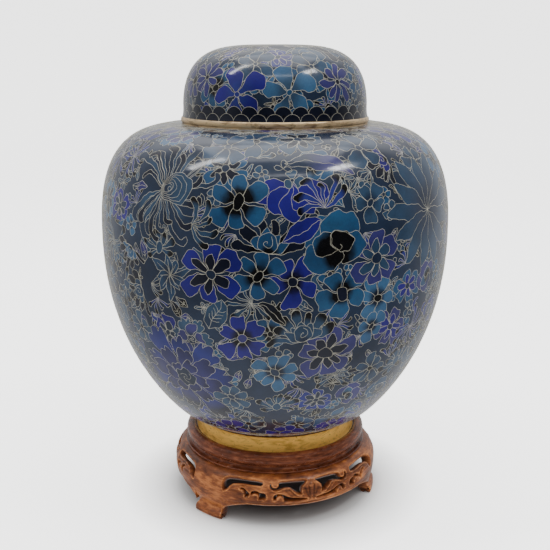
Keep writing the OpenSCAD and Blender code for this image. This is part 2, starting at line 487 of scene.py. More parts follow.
def butterfly(size: float, firing: Firing) -> Motif:
    """Two pairs of hooked wings and a body."""
    cells: Motif = []
    for angle, scale, curl in ((0.35, 1.0, 1.6), (0.85, 0.8, 1.4), (-0.35, 0.7, -1.5), (1.6, 0.85, 0.5)):
        one = Cell(hook(size * scale, size * 0.34, 0.2, curl), firing, 0j, size * scale)
        cells.append(one.turned(angle))
        cells.append(Cell([complex(-p.real, p.imag) for p in one.turned(angle).outline], firing, 0j,
                          size * scale))
    return cells + [Cell([p + 0.05j * size for p in ring(size * 0.17, 10, 1.5)], plain(Glass.STEEL))]


def fan(size: float, firing: Firing, hooks: Firing, count: int = 5) -> Motif:
    """A half flower: upright petals between hooked sepals, with a swirl in the middle."""
    cells = streamers(size, count + 2, hooks, size * 0.34, 0.15, 1.7, math.pi * 0.08, math.pi * 0.84, 0.1)
    cells += [c.turned(0.0, 0.62) for c in rays(size, count, firing, size * 0.42, 0.5, 2.5, 0.08)]
    middle = 0.24j * size
    cells.append(Cell([middle + p for p in ring(size * 0.26, 12)], firing, 0j, size * 0.4))
    cells.append(Cell([middle + p for p in spiral(0.2, size * 0.17, 1.2)], None))
    return cells


def star_weed(size: float, firing: Firing, count: int = 9) -> Motif:
    """Pointed leaves that burst from a point, some folded along a midrib."""
    cells: Motif = []
    for k in range(count):
        reach = size * (0.75 + 0.25 * math.cos(2.2 * k))
        cells += [c.turned(FULL_TURN * k / count) for c in
                  (Cell(petal(reach, size * 0.3, 0.95, 0.95, 0.25), firing, 0j, reach),
                   Cell([0j, complex(reach * 0.7, reach * 0.06)], None))]
    return cells


# ---------------------------------------------------------------- the pattern and its sheet of glass


class Pattern:
    """All the cells on one surface. A later cell lies over the earlier ones."""

    rim_r = 47.0

    def __init__(self, surface: Surface, ground: Firing, stray: float = 0.6, fine: float = 0.62) -> None:
        """Starts with bare ground.

        Args:
            surface: what the pattern is drawn on.
            ground: firing of what no cell covers.
            stray: how far hand-bent wires stray, in millimetres.
            fine: least distance between the points of a wire.
        """
        self.surface = surface
        self.ground = ground
        self.stray = stray
        self.fine = fine
        self.cells: list[tuple[list[complex], Firing, complex, float]] = []
        self.wires: list[tuple[list[complex], int]] = []

    def place(self, motif: Motif, azimuth: float, s: float, turn: float = 0.0, steady: float = 0.0) -> None:
        """Draws a motif.

        Args:
            motif: its cells.
            azimuth: of its centre, in degrees.
            s: of its centre, along the outline.
            turn: degrees anticlockwise.
            steady: 1 where its wires don't stray at all.
        """
        theta = math.radians(azimuth)
        spin = cmath.rect(1.0, math.radians(turn))
        spot = self.surface.spot
        phase = theta * 17 + s * 0.31
        for cell in motif:
            shape = spaced(smoothed(cell.outline, 1, cell.firing is not None), self.fine)
            points = [spot(theta, s, p * spin + (1 - steady) * self._drift(p * spin, phase)) for p in shape]
            if cell.firing is None:
                self.wires.append((points, len(self.cells)))
                continue
            if _signed_area(points) < 0:
                points.reverse()
            root = spot(theta, s, cell.root * spin)
            far = spot(theta, s, (cell.root + 0.1j) * spin)
            self.cells.append((points, cell.firing, root, cell.reach * abs(far - root) / 0.1))

    def _drift(self, p: complex, phase: float) -> complex:
        """How far a point of a motif strays, as hand-bent wire does from its drawing."""
        near = min(1.0, abs(p) / 3)
        return self.stray * near * complex(
            math.sin(0.42 * p.imag + phase) + 0.4 * math.sin(1.1 * p.imag - 0.6 * p.real + 2 * phase),
            math.sin(0.47 * p.real - 1.3 * phase) + 0.4 * math.sin(1.3 * p.real + 0.5 * p.imag - phase))

    def cut(self, spacing: float) -> "CutPattern":
        """Cuts the cells against each other and fills the surface between them with points.

        Args:
            spacing: distance between those points, in millimetres.

        Returns:
            The triangles and what each belongs to.
        """
        surface = self.surface
        verts: list[Vector] = []
        edges: list[tuple[int, int]] = []
        faces: list[list[int]] = []
        ranks: list[int] = []
        for points, rank in self.wires:
            first = len(verts)
            verts += [Vector((p.real, p.imag)) for p in points]
            edges += [(first + i, first + i + 1) for i in range(len(points) - 1)]
            ranks += [rank] * (len(points) - 1)
        for rim in {float(surface.rho[0]), float(surface.rho[-1])} - {0.0}:
            first = len(verts)
            count = round(1.5 * FULL_TURN * self.rim_r / spacing)
            verts += [Vector((rim * math.cos(a), rim * math.sin(a)))
                      for a in (FULL_TURN * i / count for i in range(count))]
            edges += [(first + i, first + (i + 1) % count) for i in range(count)]
            ranks += [-1] * count
        for points, *_ in self.cells:
            first = len(verts)
            verts += [Vector((p.real, p.imag)) for p in points]
            faces.append(list(range(first, len(verts))))
        rows = round(surface.length / spacing)
        for i in range(1, rows):
            s = surface.length * i / rows
            count = max(6, round(FULL_TURN * surface.radius(s) / spacing))
            rho = float(np.interp(s, surface.s, surface.rho))
            verts += [Vector((rho * math.cos(a), rho * math.sin(a)))
                      for a in (FULL_TURN * (k + 0.5 * (i % 2)) / count for k in range(count))]
        out, out_edges, tris, _, from_edges, from_faces = delaunay_2d_cdt(verts, edges, faces, 0, 1e-4, True)
        flat = np.array([(v.x, v.y) for v in out])
        low, high = sorted((float(surface.rho[0]), float(surface.rho[-1])))
        keep: list[tuple[int, int, int]] = []
        owners: list[int] = []
        for tri, source in zip(tris, from_faces):
            middle = flat[list(tri)].mean(0)
            rho = math.hypot(middle[0], middle[1])
            if low * 0.9999 < rho < high * 1.0001 and len(tri) == 3:
                keep.append(tuple(tri))
                owners.append(max(source) if source else -1)
        marked = {tuple(sorted(e)): max(ranks[k] for k in source if k < len(edges))
                  for e, source in zip(out_edges, from_edges) if any(k < len(edges) for k in source)}
        return CutPattern(self, flat, keep, owners, marked)


def _signed_area(points: Sequence[complex]) -> float:
    """Twice the area inside a closed outline, negative where it runs clockwise."""
    return sum((a.conjugate() * b).imag for a, b in zip(points, list(points[1:]) + [points[0]]))


@dataclass
class CutPattern:
    """A pattern after its cells are cut against each other.

    Args:
        pattern: the pattern.
        flat: flat-map positions.
        tris: triangles on the surface.
        owners: the cell that shows on each triangle, or -1 for the ground.
        marked: edges that lie on open wires, with the rank above which a cell hides them.
    """

    pattern: Pattern
    flat: np.ndarray
    tris: list[tuple[int, int, int]]
    owners: list[int]
    marked: dict[tuple[int, int], int]

    def wire_edges(self) -> list[tuple[int, int]]:
        """Edges that a wire follows: between two cells, or along an open wire that still shows."""
        sides: dict[tuple[int, int], list[int]] = {}
        for tri, owner in zip(self.tris, self.owners):
            for a, b in ((tri[0], tri[1]), (tri[1], tri[2]), (tri[2], tri[0])):
                sides.setdefault((a, b) if a < b else (b, a), []).append(owner)
        chosen = []
        for edge, pair in sides.items():
            rank = self.marked.get(edge)
            if len(pair) == 2 and pair[0] != pair[1]:
                chosen.append(edge)
            elif rank is not None and rank >= 0 and max(pair) < rank:
                chosen.append(edge)
        return chosen

    def bands(self, count: int) -> list[tuple[float, float]]:
        """Limits on the flat map of rings that hold a like number of triangles each."""
        middle = np.abs(self.flat[np.array(self.tris)].mean(1) @ np.array([1, 1j]))
        limits = [0.0, *np.quantile(middle, [k / count for k in range(1, count)]).tolist(), math.inf]
        return list(zip(limits, limits[1:]))

    def glass(self, name: str, depth: float, band: tuple[float, float]) -> bpy.types.Object:
        """The enamel of a ring as one sheet, with each corner's two glasses and the share of the second.

        Args:
            name: the piece's name.
            depth: how far the sheet lies under the outline, in millimetres.
            band: the ring's limits on the flat map.

        Returns:
            The new object.
        """
        spots, normals = self.pattern.surface.lift(self.flat)
        spots = spots - normals * depth
        tris = np.array(self.tris)
        middle = np.abs(self.flat[tris].mean(1) @ np.array([1, 1j]))
        inside = (middle >= band[0]) & (middle < band[1])
        tris = tris[inside]
        used = np.unique(tris)
        renumber = np.full(len(self.flat), -1)
        renumber[used] = np.arange(len(used))
        faces = renumber[tris]
        spots, normals, flat = spots[used] * MM, normals[used], self.flat[used]
        corner = np.cross(spots[faces[:, 1]] - spots[faces[:, 0]], spots[faces[:, 2]] - spots[faces[:, 0]])
        outward = np.einsum("ij,ij->i", corner, normals[faces[:, 0]]) > 0
        faces[~outward] = faces[~outward][:, ::-1]
        mesh = bpy.data.meshes.new(name)
        mesh.from_pydata(spots.tolist(), [], faces.tolist())
        firings = [self.pattern.ground] + [cell[1] for cell in self.pattern.cells]
        roots = np.array([0j] + [cell[2] for cell in self.pattern.cells])
        reach = np.array([1.0] + [cell[3] for cell in self.pattern.cells])
        owner = np.repeat(np.array(self.owners)[inside] + 1, 3)
        place = flat[faces.ravel()]
        share = np.abs(place[:, 0] + 1j * place[:, 1] - roots[owner]) / reach[owner]
        split = np.array([f.split for f in firings])[owner]
        blend = np.array([f.blend for f in firings])[owner]
        grade = np.clip(0.5 + (share - split) / blend, 0, 1)
        for label, end in (("root_glass", "root"), ("tip_glass", "tip")):
            colours = np.array([(*getattr(f, end).value, 1.0) for f in firings])[owner]
            layer = mesh.color_attributes.new(label, "FLOAT_COLOR", "CORNER")
            layer.data.foreach_set("color", colours.ravel())
        layer = mesh.attributes.new("grade", "FLOAT", "CORNER")
        layer.data.foreach_set("value", grade)
        mesh.polygons.foreach_set("use_smooth", np.ones(len(faces), bool))
        mesh.normals_split_custom_set_from_vertices(normals.tolist())
        mesh.update()
        piece = bpy.data.objects.new(name, mesh)
        bpy.context.scene.collection.objects.link(piece)
        return piece

    def wire(self, name: str, width: float, depth: float, proud: float,
             band: tuple[float, float]) -> bpy.types.Object:
        """The wires between the cells, each a low rounded strip soldered on edge.

        Args:
            name: the piece's name.
            width: of a wire, in millimetres.
            depth: how far the glass lies under the outline.
            proud: how far a wire's crest stands above the glass.
            band: limits on the flat map of the ring that is made.

        Returns:
            The new object.
        """
        spots, normals = self.pattern.surface.lift(self.flat)
        edges = self.wire_edges()
        meets: dict[int, list[int]] = {}
        for a, b in edges:
            meets.setdefault(a, []).append(b)
            meets.setdefault(b, []).append(a)
        verts: list[np.ndarray] = []
        faces: list[tuple[int, ...]] = []
        shared: dict[int, tuple[int, np.ndarray]] = {}

        def section(at: np.ndarray, normal: np.ndarray, along: np.ndarray, stretch: float) -> int:
            """Adds the strip's left edge, crest and right edge, and returns the first one's number."""
            side = np.cross(normal, along)
            side *= width / 2 * stretch / max(float(np.linalg.norm(side)), 1e-9)
            verts.extend((at + side - normal * (depth + 0.02), at + normal * (proud - depth),
                          at - side - normal * (depth + 0.02)))
            return len(verts) - 3

        def end(here: int, there: int) -> tuple[int, bool]:
            """Number of the section at one end of an edge, and whether it faces back along the edge."""
            at, normal = spots[here], normals[here]
            along = spots[there] - at
            along = along / max(float(np.linalg.norm(along)), 1e-9)
            if len(meets[here]) != 2:
                return section(at - along * width * 0.35, normal, along, 1.0), False
            if here not in shared:
                one, two = (spots[other] - at for other in meets[here])
                one, two = one / max(np.linalg.norm(one), 1e-9), two / max(np.linalg.norm(two), 1e-9)
                run = two - one
                size = float(np.linalg.norm(run))
                run = run / size if size > 0.3 else two
                shared[here] = section(at, normal, run, min(2 / max(size, 1.2), 1.6)), run
            first, run = shared[here]
            return first, float(run @ along) < 0

        for a, b in edges:
            if not band[0] <= math.hypot(*(self.flat[a] + self.flat[b]) / 2) < band[1]:
                continue
            (p, p_back), (q, q_back) = end(a, b), end(b, a)
            left = (p, p + 1, p + 2) if not p_back else (p + 2, p + 1, p)
            right = (q + 2, q + 1, q) if not q_back else (q, q + 1, q + 2)
            faces.append((left[0], left[1], right[1], right[0]))
            faces.append((left[1], left[2], right[2], right[1]))
        mesh = bpy.data.meshes.new(name)
        mesh.from_pydata((np.array(verts) * MM).tolist(), [], faces)
        mesh.update()
        mesh.polygons.foreach_set("use_smooth", np.ones(len(mesh.polygons), bool))
        piece = bpy.data.objects.new(name, mesh)
        bpy.context.scene.collection.objects.link(piece)
        return piece


# ---------------------------------------------------------------- materials


class Graph:
    """A node tree with short calls to add and join nodes."""

    def __init__(self, tree: bpy.types.NodeTree) -> None:
        """Works on a tree."""
        self.tree = tree

    def add(self, kind: str, values: dict[str | int, object] | None = None,
            settings: dict[str, object] | None = None) -> bpy.types.Node:
        """Adds a node.

        Args:
            kind: the node's type.
            values: for its inputs, each a constant or another node's output.
            settings: of its own properties.

        Returns:
            The node.
        """
        node = self.tree.nodes.new(kind)
        for name, value in (settings or {}).items():
            setattr(node, name, value)
        for name, value in (values or {}).items():
            socket = node.inputs[name]
            if isinstance(value, bpy.types.NodeSocket):
                self.tree.links.new(value, socket)
            else:
                socket.default_value = value
        return node

    def math(self, operation: str, *values: object, clamp: bool = False) -> bpy.types.NodeSocket:
        """Adds a Math node and returns its output."""
        return self.add("ShaderNodeMath", dict(enumerate(values)),
                        {"operation": operation, "use_clamp": clamp}).outputs[0]

    def remap(self, value: bpy.types.NodeSocket, low: float, high: float, out_low: float = 0.0,
              out_high: float = 1.0) -> bpy.types.NodeSocket:
        """Adds a clamped Map Range node and returns its output."""
        return self.add("ShaderNodeMapRange", {0: value, 1: low, 2: high, 3: out_low, 4: out_high}).outputs[0]

    def mix(self, share: object, first: object, second: object, mode: str = "MIX") -> bpy.types.NodeSocket:
        """Adds a colour Mix node and returns its output."""
        return self.add("ShaderNodeMix", {0: share, 6: first, 7: second},
                        {"data_type": "RGBA", "blend_type": mode}).outputs[2]

    def noise(self, scale: float, detail: float = 3.0, roughness: float = 0.55,
              vector: bpy.types.NodeSocket | None = None) -> bpy.types.NodeSocket:
        """Adds a Noise texture and returns its value."""
        return self.add("ShaderNodeTexNoise", {"Vector": vector or self.place(), "Scale": scale,
                                               "Detail": detail, "Roughness": roughness}).outputs["Fac"]

    def place(self) -> bpy.types.NodeSocket:
        """The position on the piece, in metres."""
        return self.add("ShaderNodeTexCoord").outputs["Object"]

    def stretched(self, scale: tuple[float, float, float]) -> bpy.types.NodeSocket:
        """The position with each axis scaled."""
        return self.add("ShaderNodeMapping", {"Vector": self.place(), "Scale": scale}).outputs[0]


def rgba(colour: Colour) -> tuple[float, float, float, float]:
    """The colour with full alpha."""
    return (*colour, 1.0)


def make_group(name: str, inputs: dict[str, float], outputs: Iterable[str],
               build: Callable[[Graph, bpy.types.Node, bpy.types.Node], None]) -> bpy.types.NodeTree:
    """Makes a shader node group of plain numbers.

    Args:
        name: its name.
        inputs: names and default values.
        outputs: names of its outputs.
        build: fills the group, given its graph, its input node and its output node.

    Returns:
        The group.
    """
    tree = bpy.data.node_groups.new(name, "ShaderNodeTree")
    for label, value in inputs.items():
        tree.interface.new_socket(label, in_out="INPUT", socket_type="NodeSocketFloat").default_value = value
    for label in outputs:
        tree.interface.new_socket(label, in_out="OUTPUT", socket_type="NodeSocketFloat")
    graph = Graph(tree)
    build(graph, graph.add("NodeGroupInput"), graph.add("NodeGroupOutput"))
    return tree


class SharedEffects:
    """Node groups that several finishes use."""

    def __init__(self) -> None:
        """Builds each group once."""
        self.mottle = make_group("mottle", {"Size": 120.0, "Fine": 900.0, "Amount": 0.5}, ("Value", "Pits"),
                                 self._mottle)
        self.wear = make_group("handling_wear", {"Scale": 220.0, "Scratches": 0.3}, ("Value", "Height"),
                               self._wear)

    @staticmethod
    def _mottle(graph: Graph, inputs: bpy.types.Node, output: bpy.types.Node) -> None:
        """Uneven depth of colour with small pits, as in fired glass."""
        broad = graph.add("ShaderNodeTexNoise", {"Vector": graph.place(), "Scale": inputs.outputs["Size"],
                                                 "Detail": 4.0, "Roughness": 0.6}).outputs["Fac"]
        fine = graph.add("ShaderNodeTexNoise", {"Vector": graph.place(), "Scale": inputs.outputs["Fine"],
                                                "Detail": 2.0}).outputs["Fac"]
        both = graph.math("ADD", graph.math("MULTIPLY", broad, 0.7), graph.math("MULTIPLY", fine, 0.3))
        swing = graph.math("MULTIPLY", graph.math("SUBTRACT", both, 0.5), inputs.outputs["Amount"])
        graph.tree.links.new(graph.math("ADD", graph.math("MULTIPLY", swing, 4.0), 1.0),
                             output.inputs["Value"])
        cells = graph.add("ShaderNodeTexVoronoi", {"Vector": graph.place(), "Scale": inputs.outputs["Fine"],
                                                   "Randomness": 1.0}).outputs["Distance"]
        graph.tree.links.new(graph.remap(cells, 0.0, 0.16, 1.0, 0.0), output.inputs["Pits"])

    @staticmethod
    def _wear(graph: Graph, inputs: bpy.types.Node, output: bpy.types.Node) -> None:
        """Smears and faint scratches from handling."""
        smear = graph.add("ShaderNodeTexNoise", {"Vector": graph.stretched((1.0, 1.0, 3.0)),
                                                 "Scale": inputs.outputs["Scale"], "Detail": 5.0,
                                                 "Roughness": 0.65, "Distortion": 0.6}).outputs["Fac"]
        graph.tree.links.new(smear, output.inputs["Value"])
        line = graph.add("ShaderNodeTexNoise", {"Vector": graph.stretched((1.0, 1.0, 14.0)), "Scale": 260.0,
                                                "Detail": 2.0}).outputs["Fac"]
        scratches = graph.math("MULTIPLY", graph.remap(line, 0.62, 0.7), inputs.outputs["Scratches"])
        graph.tree.links.new(scratches, output.inputs["Height"])


def use_group(graph: Graph, group: bpy.types.NodeTree, values: dict[str, float]) -> bpy.types.Node:
    """Places a node group and sets its inputs."""
    node = graph.add("ShaderNodeGroup", settings={"node_tree": group})
    for name, value in values.items():
        node.inputs[name].default_value = value
    return node


def new_material(name: str) -> tuple[bpy.types.Material, Graph, bpy.types.Node]:
    """Starts a material.

    Args:
        name: its name.

    Returns:
        The material, its graph and its Principled BSDF node.
    """
    material = bpy.data.materials.new(name)
    material.use_nodes = True
    graph = Graph(material.node_tree)
    return material, graph, material.node_tree.nodes["Principled BSDF"]


@dataclass(frozen=True)
class EnamelFinish:
    """Fired and polished glass.

    Args:
        name: of the material.
        colour: of plain enamel, or None where the sheet carries its cells' colours.
        roughness: of the polish.
        mottle: how much its depth of colour varies.
    """

    name: str
    colour: Colour | None = None
    roughness: float = 0.13
    mottle: float = 0.34

    def build(self, effects: SharedEffects) -> bpy.types.Material:
        """Makes the material."""
        material, graph, shader = new_material(self.name)
        uneven = use_group(graph, effects.mottle, {"Size": 95.0, "Fine": 1100.0, "Amount": self.mottle})
        if self.colour:
            base = rgba(self.colour)
        else:
            grade = graph.add("ShaderNodeAttribute", settings={"attribute_name": "grade"}).outputs["Fac"]
            drift = graph.math("MULTIPLY", graph.math("SUBTRACT", graph.noise(420.0, 3.0), 0.5), 1.1)
            share = graph.math("ADD", grade, graph.math("MULTIPLY", drift, graph.math(
                "MULTIPLY", grade, graph.math("SUBTRACT", 1.0, grade))), clamp=True)
            ends = [graph.add("ShaderNodeAttribute", settings={"attribute_name": label}).outputs["Color"]
                    for label in ("root_glass", "tip_glass")]
            base = graph.mix(share, *ends)
            tint = graph.remap(graph.noise(28.0, 2.0), 0.4, 0.62)
            base = graph.mix(graph.math("MULTIPLY", tint, 0.45), base, (0.02, 0.09, 0.16, 1.0), "SOFT_LIGHT")
        depth = graph.add("ShaderNodeCombineColor", {k: uneven.outputs["Value"] for k in range(3)}).outputs[0]
        graph.tree.links.new(graph.mix(1.0, base, depth, "MULTIPLY"), shader.inputs["Base Color"])
        wear = use_group(graph, effects.wear, {"Scale": 60.0, "Scratches": 0.2})
        graph.tree.links.new(graph.remap(wear.outputs["Value"], 0.3, 0.75, self.roughness * 0.7,
                                         self.roughness * 1.7), shader.inputs["Roughness"])
        waves = graph.noise(210.0, 2.0)
        height = graph.math("SUBTRACT", graph.math("MULTIPLY", waves, 0.5),
                            graph.math("MULTIPLY", uneven.outputs["Pits"], 0.12))
        bump = graph.add("ShaderNodeBump", {"Height": height, "Strength": 0.12, "Distance": 0.0006})
        graph.tree.links.new(bump.outputs[0], shader.inputs["Normal"])
        shader.inputs["IOR"].default_value = 1.56
        shader.inputs["Coat Weight"].default_value = 0.3
        shader.inputs["Coat Roughness"].default_value = 0.38
        return material


@dataclass(frozen=True)
class MetalFinish:
    """Gilt wire, brass or copper.

    Args:
        name: of the material.
        bright: colour where it is clean.
        dull: colour where it has tarnished.
        roughness: of the metal.
        metallic: under 1 where a film lies on it.
        tarnish: share of it that is dull.
        pits: depth of its pits.
    """

    name: str
    bright: Colour
    dull: Colour
    roughness: float = 0.35
    metallic: float = 1.0
    tarnish: float = 0.5
    pits: float = 0.0

    def build(self, effects: SharedEffects) -> bpy.types.Material:
        """Makes the material."""
        material, graph, shader = new_material(self.name)
        wear = use_group(graph, effects.wear, {"Scale": 130.0, "Scratches": 0.6})
        uneven = use_group(graph, effects.mottle, {"Size": 240.0, "Fine": 480.0, "Amount": 0.4})
        dull = graph.remap(wear.outputs["Value"], 0.62 - 0.3 * self.tarnish, 0.78 - 0.3 * self.tarnish)
        base = graph.mix(dull, rgba(self.bright), rgba(self.dull))
        pits = graph.math("MULTIPLY", uneven.outputs["Pits"], min(1.0, self.pits * 2))
        graph.tree.links.new(graph.mix(pits, base, rgba(tuple(0.35 * c for c in self.dull))),
                             shader.inputs["Base Color"])
        graph.tree.links.new(graph.remap(wear.outputs["Value"], 0.25, 0.8, self.roughness * 0.75,
                                         min(1.0, self.roughness * 1.5)), shader.inputs["Roughness"])
        height = graph.math("SUBTRACT", graph.math("MULTIPLY", wear.outputs["Height"], 0.5),
                            graph.math("MULTIPLY", uneven.outputs["Pits"], self.pits))
        bump = graph.add("ShaderNodeBump", {"Height": height, "Strength": 0.4, "Distance": 0.0003})
        graph.tree.links.new(bump.outputs[0], shader.inputs["Normal"])
        shader.inputs["Metallic"].default_value = self.metallic
        return material


@dataclass(frozen=True)
class WoodFinish:
    """Stained and polished hardwood.

    Args:
        name: of the material.
        dark: colour in its pores; the painted shade in its grooves and on its back is a darker version of it.
        mid: colour of most of it.
        light: colour where the stain has worn through, and of the painted highlight along carved edges.
        roughness: of the polish.
        grain: how its position is scaled across and along the grain.
        worn: True where the piece carries wear and hollow attributes: a lighter edge band, partly worn stain
            and partly painted highlight, and painted shade in its grooves and on its back.
    """

    name: str
    dark: Colour
    mid: Colour
    light: Colour
    roughness: float = 0.32
    grain: tuple[float, float, float] = (1.0, 1.0, 5.0)
    worn: bool = False

    def build(self, effects: SharedEffects) -> bpy.types.Material:
        """Makes the material."""
        material, graph, shader = new_material(self.name)
        along = graph.stretched(self.grain)
        streaks = graph.noise(190.0, 6.0, 0.65, along)
        broad = graph.noise(45.0, 3.0, 0.5, along)
        pores = graph.remap(graph.noise(1100.0, 2.0, 0.5, along), 0.6, 0.7)
        figure = graph.math("ADD", graph.math("MULTIPLY", streaks, 0.55), graph.math("MULTIPLY", broad, 0.45))
        base = graph.mix(graph.remap(figure, 0.36, 0.58), rgba(self.dark), rgba(self.mid))
        base = graph.mix(graph.math("MULTIPLY", graph.remap(figure, 0.52, 0.7), 0.6), base, rgba(self.light))
        if self.worn:
            wear = graph.add("ShaderNodeAttribute", settings={"attribute_name": "wear"}).outputs["Fac"]
            # lighter along the carved edges: partly worn stain, partly painted highlight
            worn_and_highlit_edge = graph.math("MULTIPLY", graph.remap(wear, 0.35, 0.9), graph.remap(streaks, 0.35, 0.6))
            base = graph.mix(graph.math("MULTIPLY", worn_and_highlit_edge, 0.85), base, rgba(self.light))
            # painted shade: darker in the carved grooves and on the back face
            hollow = graph.add("ShaderNodeAttribute", settings={"attribute_name": "hollow"}).outputs["Fac"]
            base = graph.mix(hollow, base, rgba(tuple(0.4 * c for c in self.dark)))
        base = graph.mix(graph.math("MULTIPLY", pores, 0.5), base, rgba(self.dark))
        graph.tree.links.new(base, shader.inputs["Base Color"])
        handled = use_group(graph, effects.wear, {"Scale": 90.0, "Scratches": 0.4})
        graph.tree.links.new(graph.remap(handled.outputs["Value"], 0.3, 0.75, self.roughness * 0.75,
                                         self.roughness * 1.5), shader.inputs["Roughness"])
        height = graph.math("SUBTRACT", graph.math("MULTIPLY", streaks, 0.25),
                            graph.math("ADD", graph.math("MULTIPLY", pores, 0.6), handled.outputs["Height"]))
        bump = graph.add("ShaderNodeBump", {"Height": height, "Strength": 0.25, "Distance": 0.0003})
        graph.tree.links.new(bump.outputs[0], shader.inputs["Normal"])
        shader.inputs["Specular IOR Level"].default_value = 0.4
        shader.inputs["Coat Weight"].default_value = 0.12
        shader.inputs["Coat Roughness"].default_value = 0.22
        return material


GILT_WIRE = MetalFinish("gilt_wire", (0.46, 0.44, 0.36), (0.27, 0.25, 0.18), 0.45, 0.3, 0.5)
DULL_BRASS = MetalFinish("dull_brass", (0.98, 0.56, 0.12), (0.6, 0.31, 0.05), 0.3, 0.4, 0.45, 0.6)
RIM_BRASS = MetalFinish("rim_brass", (0.72, 0.53, 0.3), (0.3, 0.2, 0.11), 0.34, 0.6, 0.45, 0.2)
DARK_COPPER = MetalFinish("dark_copper", (0.2, 0.085, 0.05), (0.06, 0.025, 0.018), 0.45, 0.8, 0.6, 0.2)
CELL_ENAMEL = EnamelFinish("cell_enamel")
PLAIN_ENAMEL = EnamelFinish("plain_enamel", (0.03, 0.17, 0.3), 0.16, 0.25)
TURNED_WOOD = WoodFinish("turned_wood", (0.036, 0.009, 0.004), (0.172, 0.047, 0.02), (0.43, 0.15, 0.06),
                         0.22, (1.0, 1.0, 6.0))
CARVED_WOOD_WITH_PAINTED_SHADE = WoodFinish("carved_wood", (0.06, 0.014, 0.005), (0.31, 0.09, 0.024), (0.8, 0.31, 0.09),
                         0.36, (1.0, 1.0, 4.0), True)


# ---------------------------------------------------------------- turned pieces


def arc(centre: tuple[float, float], rx: float, rz: float, start: float, end: float,
        steps: int = 12) -> list[tuple[float, float]]:
    """Points of part of an ellipse, as radius and height.

    Args:
        centre: radius and height of its centre.
        rx: its half width.
        rz: its half height.
        start: first angle in degrees.
        end: last angle in degrees.
        steps: number of stretches.

    Returns:
        The points.
    """
    return [(centre[0] + rx * math.cos(math.radians(a)), centre[1] + rz * math.sin(math.radians(a)))
            for a in (start + (end - start) * i / steps for i in range(steps + 1))]


def deselect() -> None:
    """Leaves nothing selected, so that an operator acts only on what is added next."""
    if bpy.context.object and bpy.context.object.mode != "OBJECT":
        bpy.ops.object.mode_set(mode="OBJECT")
    bpy.ops.object.select_all(action="DESELECT")


def turned(name: str, profile: Sequence[tuple[float, float]], segments: int = 128,
           smooth: float = 35.0) -> bpy.types.Object:
    """Turns a closed profile round the axis, as on a lathe.

    Args:
        name: the piece's name.
        profile: radius and height of each point, in millimetres, in order round the section.
        segments: number of steps round the axis.
        smooth: edges flatter than this many degrees are shaded smooth.

    Returns:
        The new object.
    """
    deselect()
    bpy.ops.mesh.primitive_plane_add(size=MM, location=(0, 0, 0))
    piece = bpy.context.object
    piece.name = piece.data.name = name
    bpy.ops.object.mode_set(mode="EDIT")
    bpy.ops.mesh.select_all(action="SELECT")
    bpy.ops.mesh.merge(type="CENTER")
    radius, height = profile[0]
    bpy.ops.transform.translate(value=(radius * MM, 0, height * MM))
    for (r0, z0), (r1, z1) in zip(profile, [*profile[1:], profile[0]]):
        step = ((r1 - r0) * MM, 0, (z1 - z0) * MM)
        bpy.ops.mesh.extrude_vertices_move(TRANSFORM_OT_translate={"value": step})
    bpy.ops.mesh.select_all(action="SELECT")
    bpy.ops.mesh.remove_doubles(threshold=1e-6)
    bpy.ops.mesh.spin(steps=segments, angle=FULL_TURN, center=(0, 0, 0), axis=(0, 0, 1))
    bpy.ops.mesh.select_all(action="SELECT")
    bpy.ops.mesh.remove_doubles(threshold=1e-6)
    bpy.ops.mesh.normals_make_consistent(inside=False)
    bpy.ops.object.mode_set(mode="OBJECT")
    bpy.ops.object.shade_smooth_by_angle(angle=math.radians(smooth))
    return piece


# ---------------------------------------------------------------- carved pieces


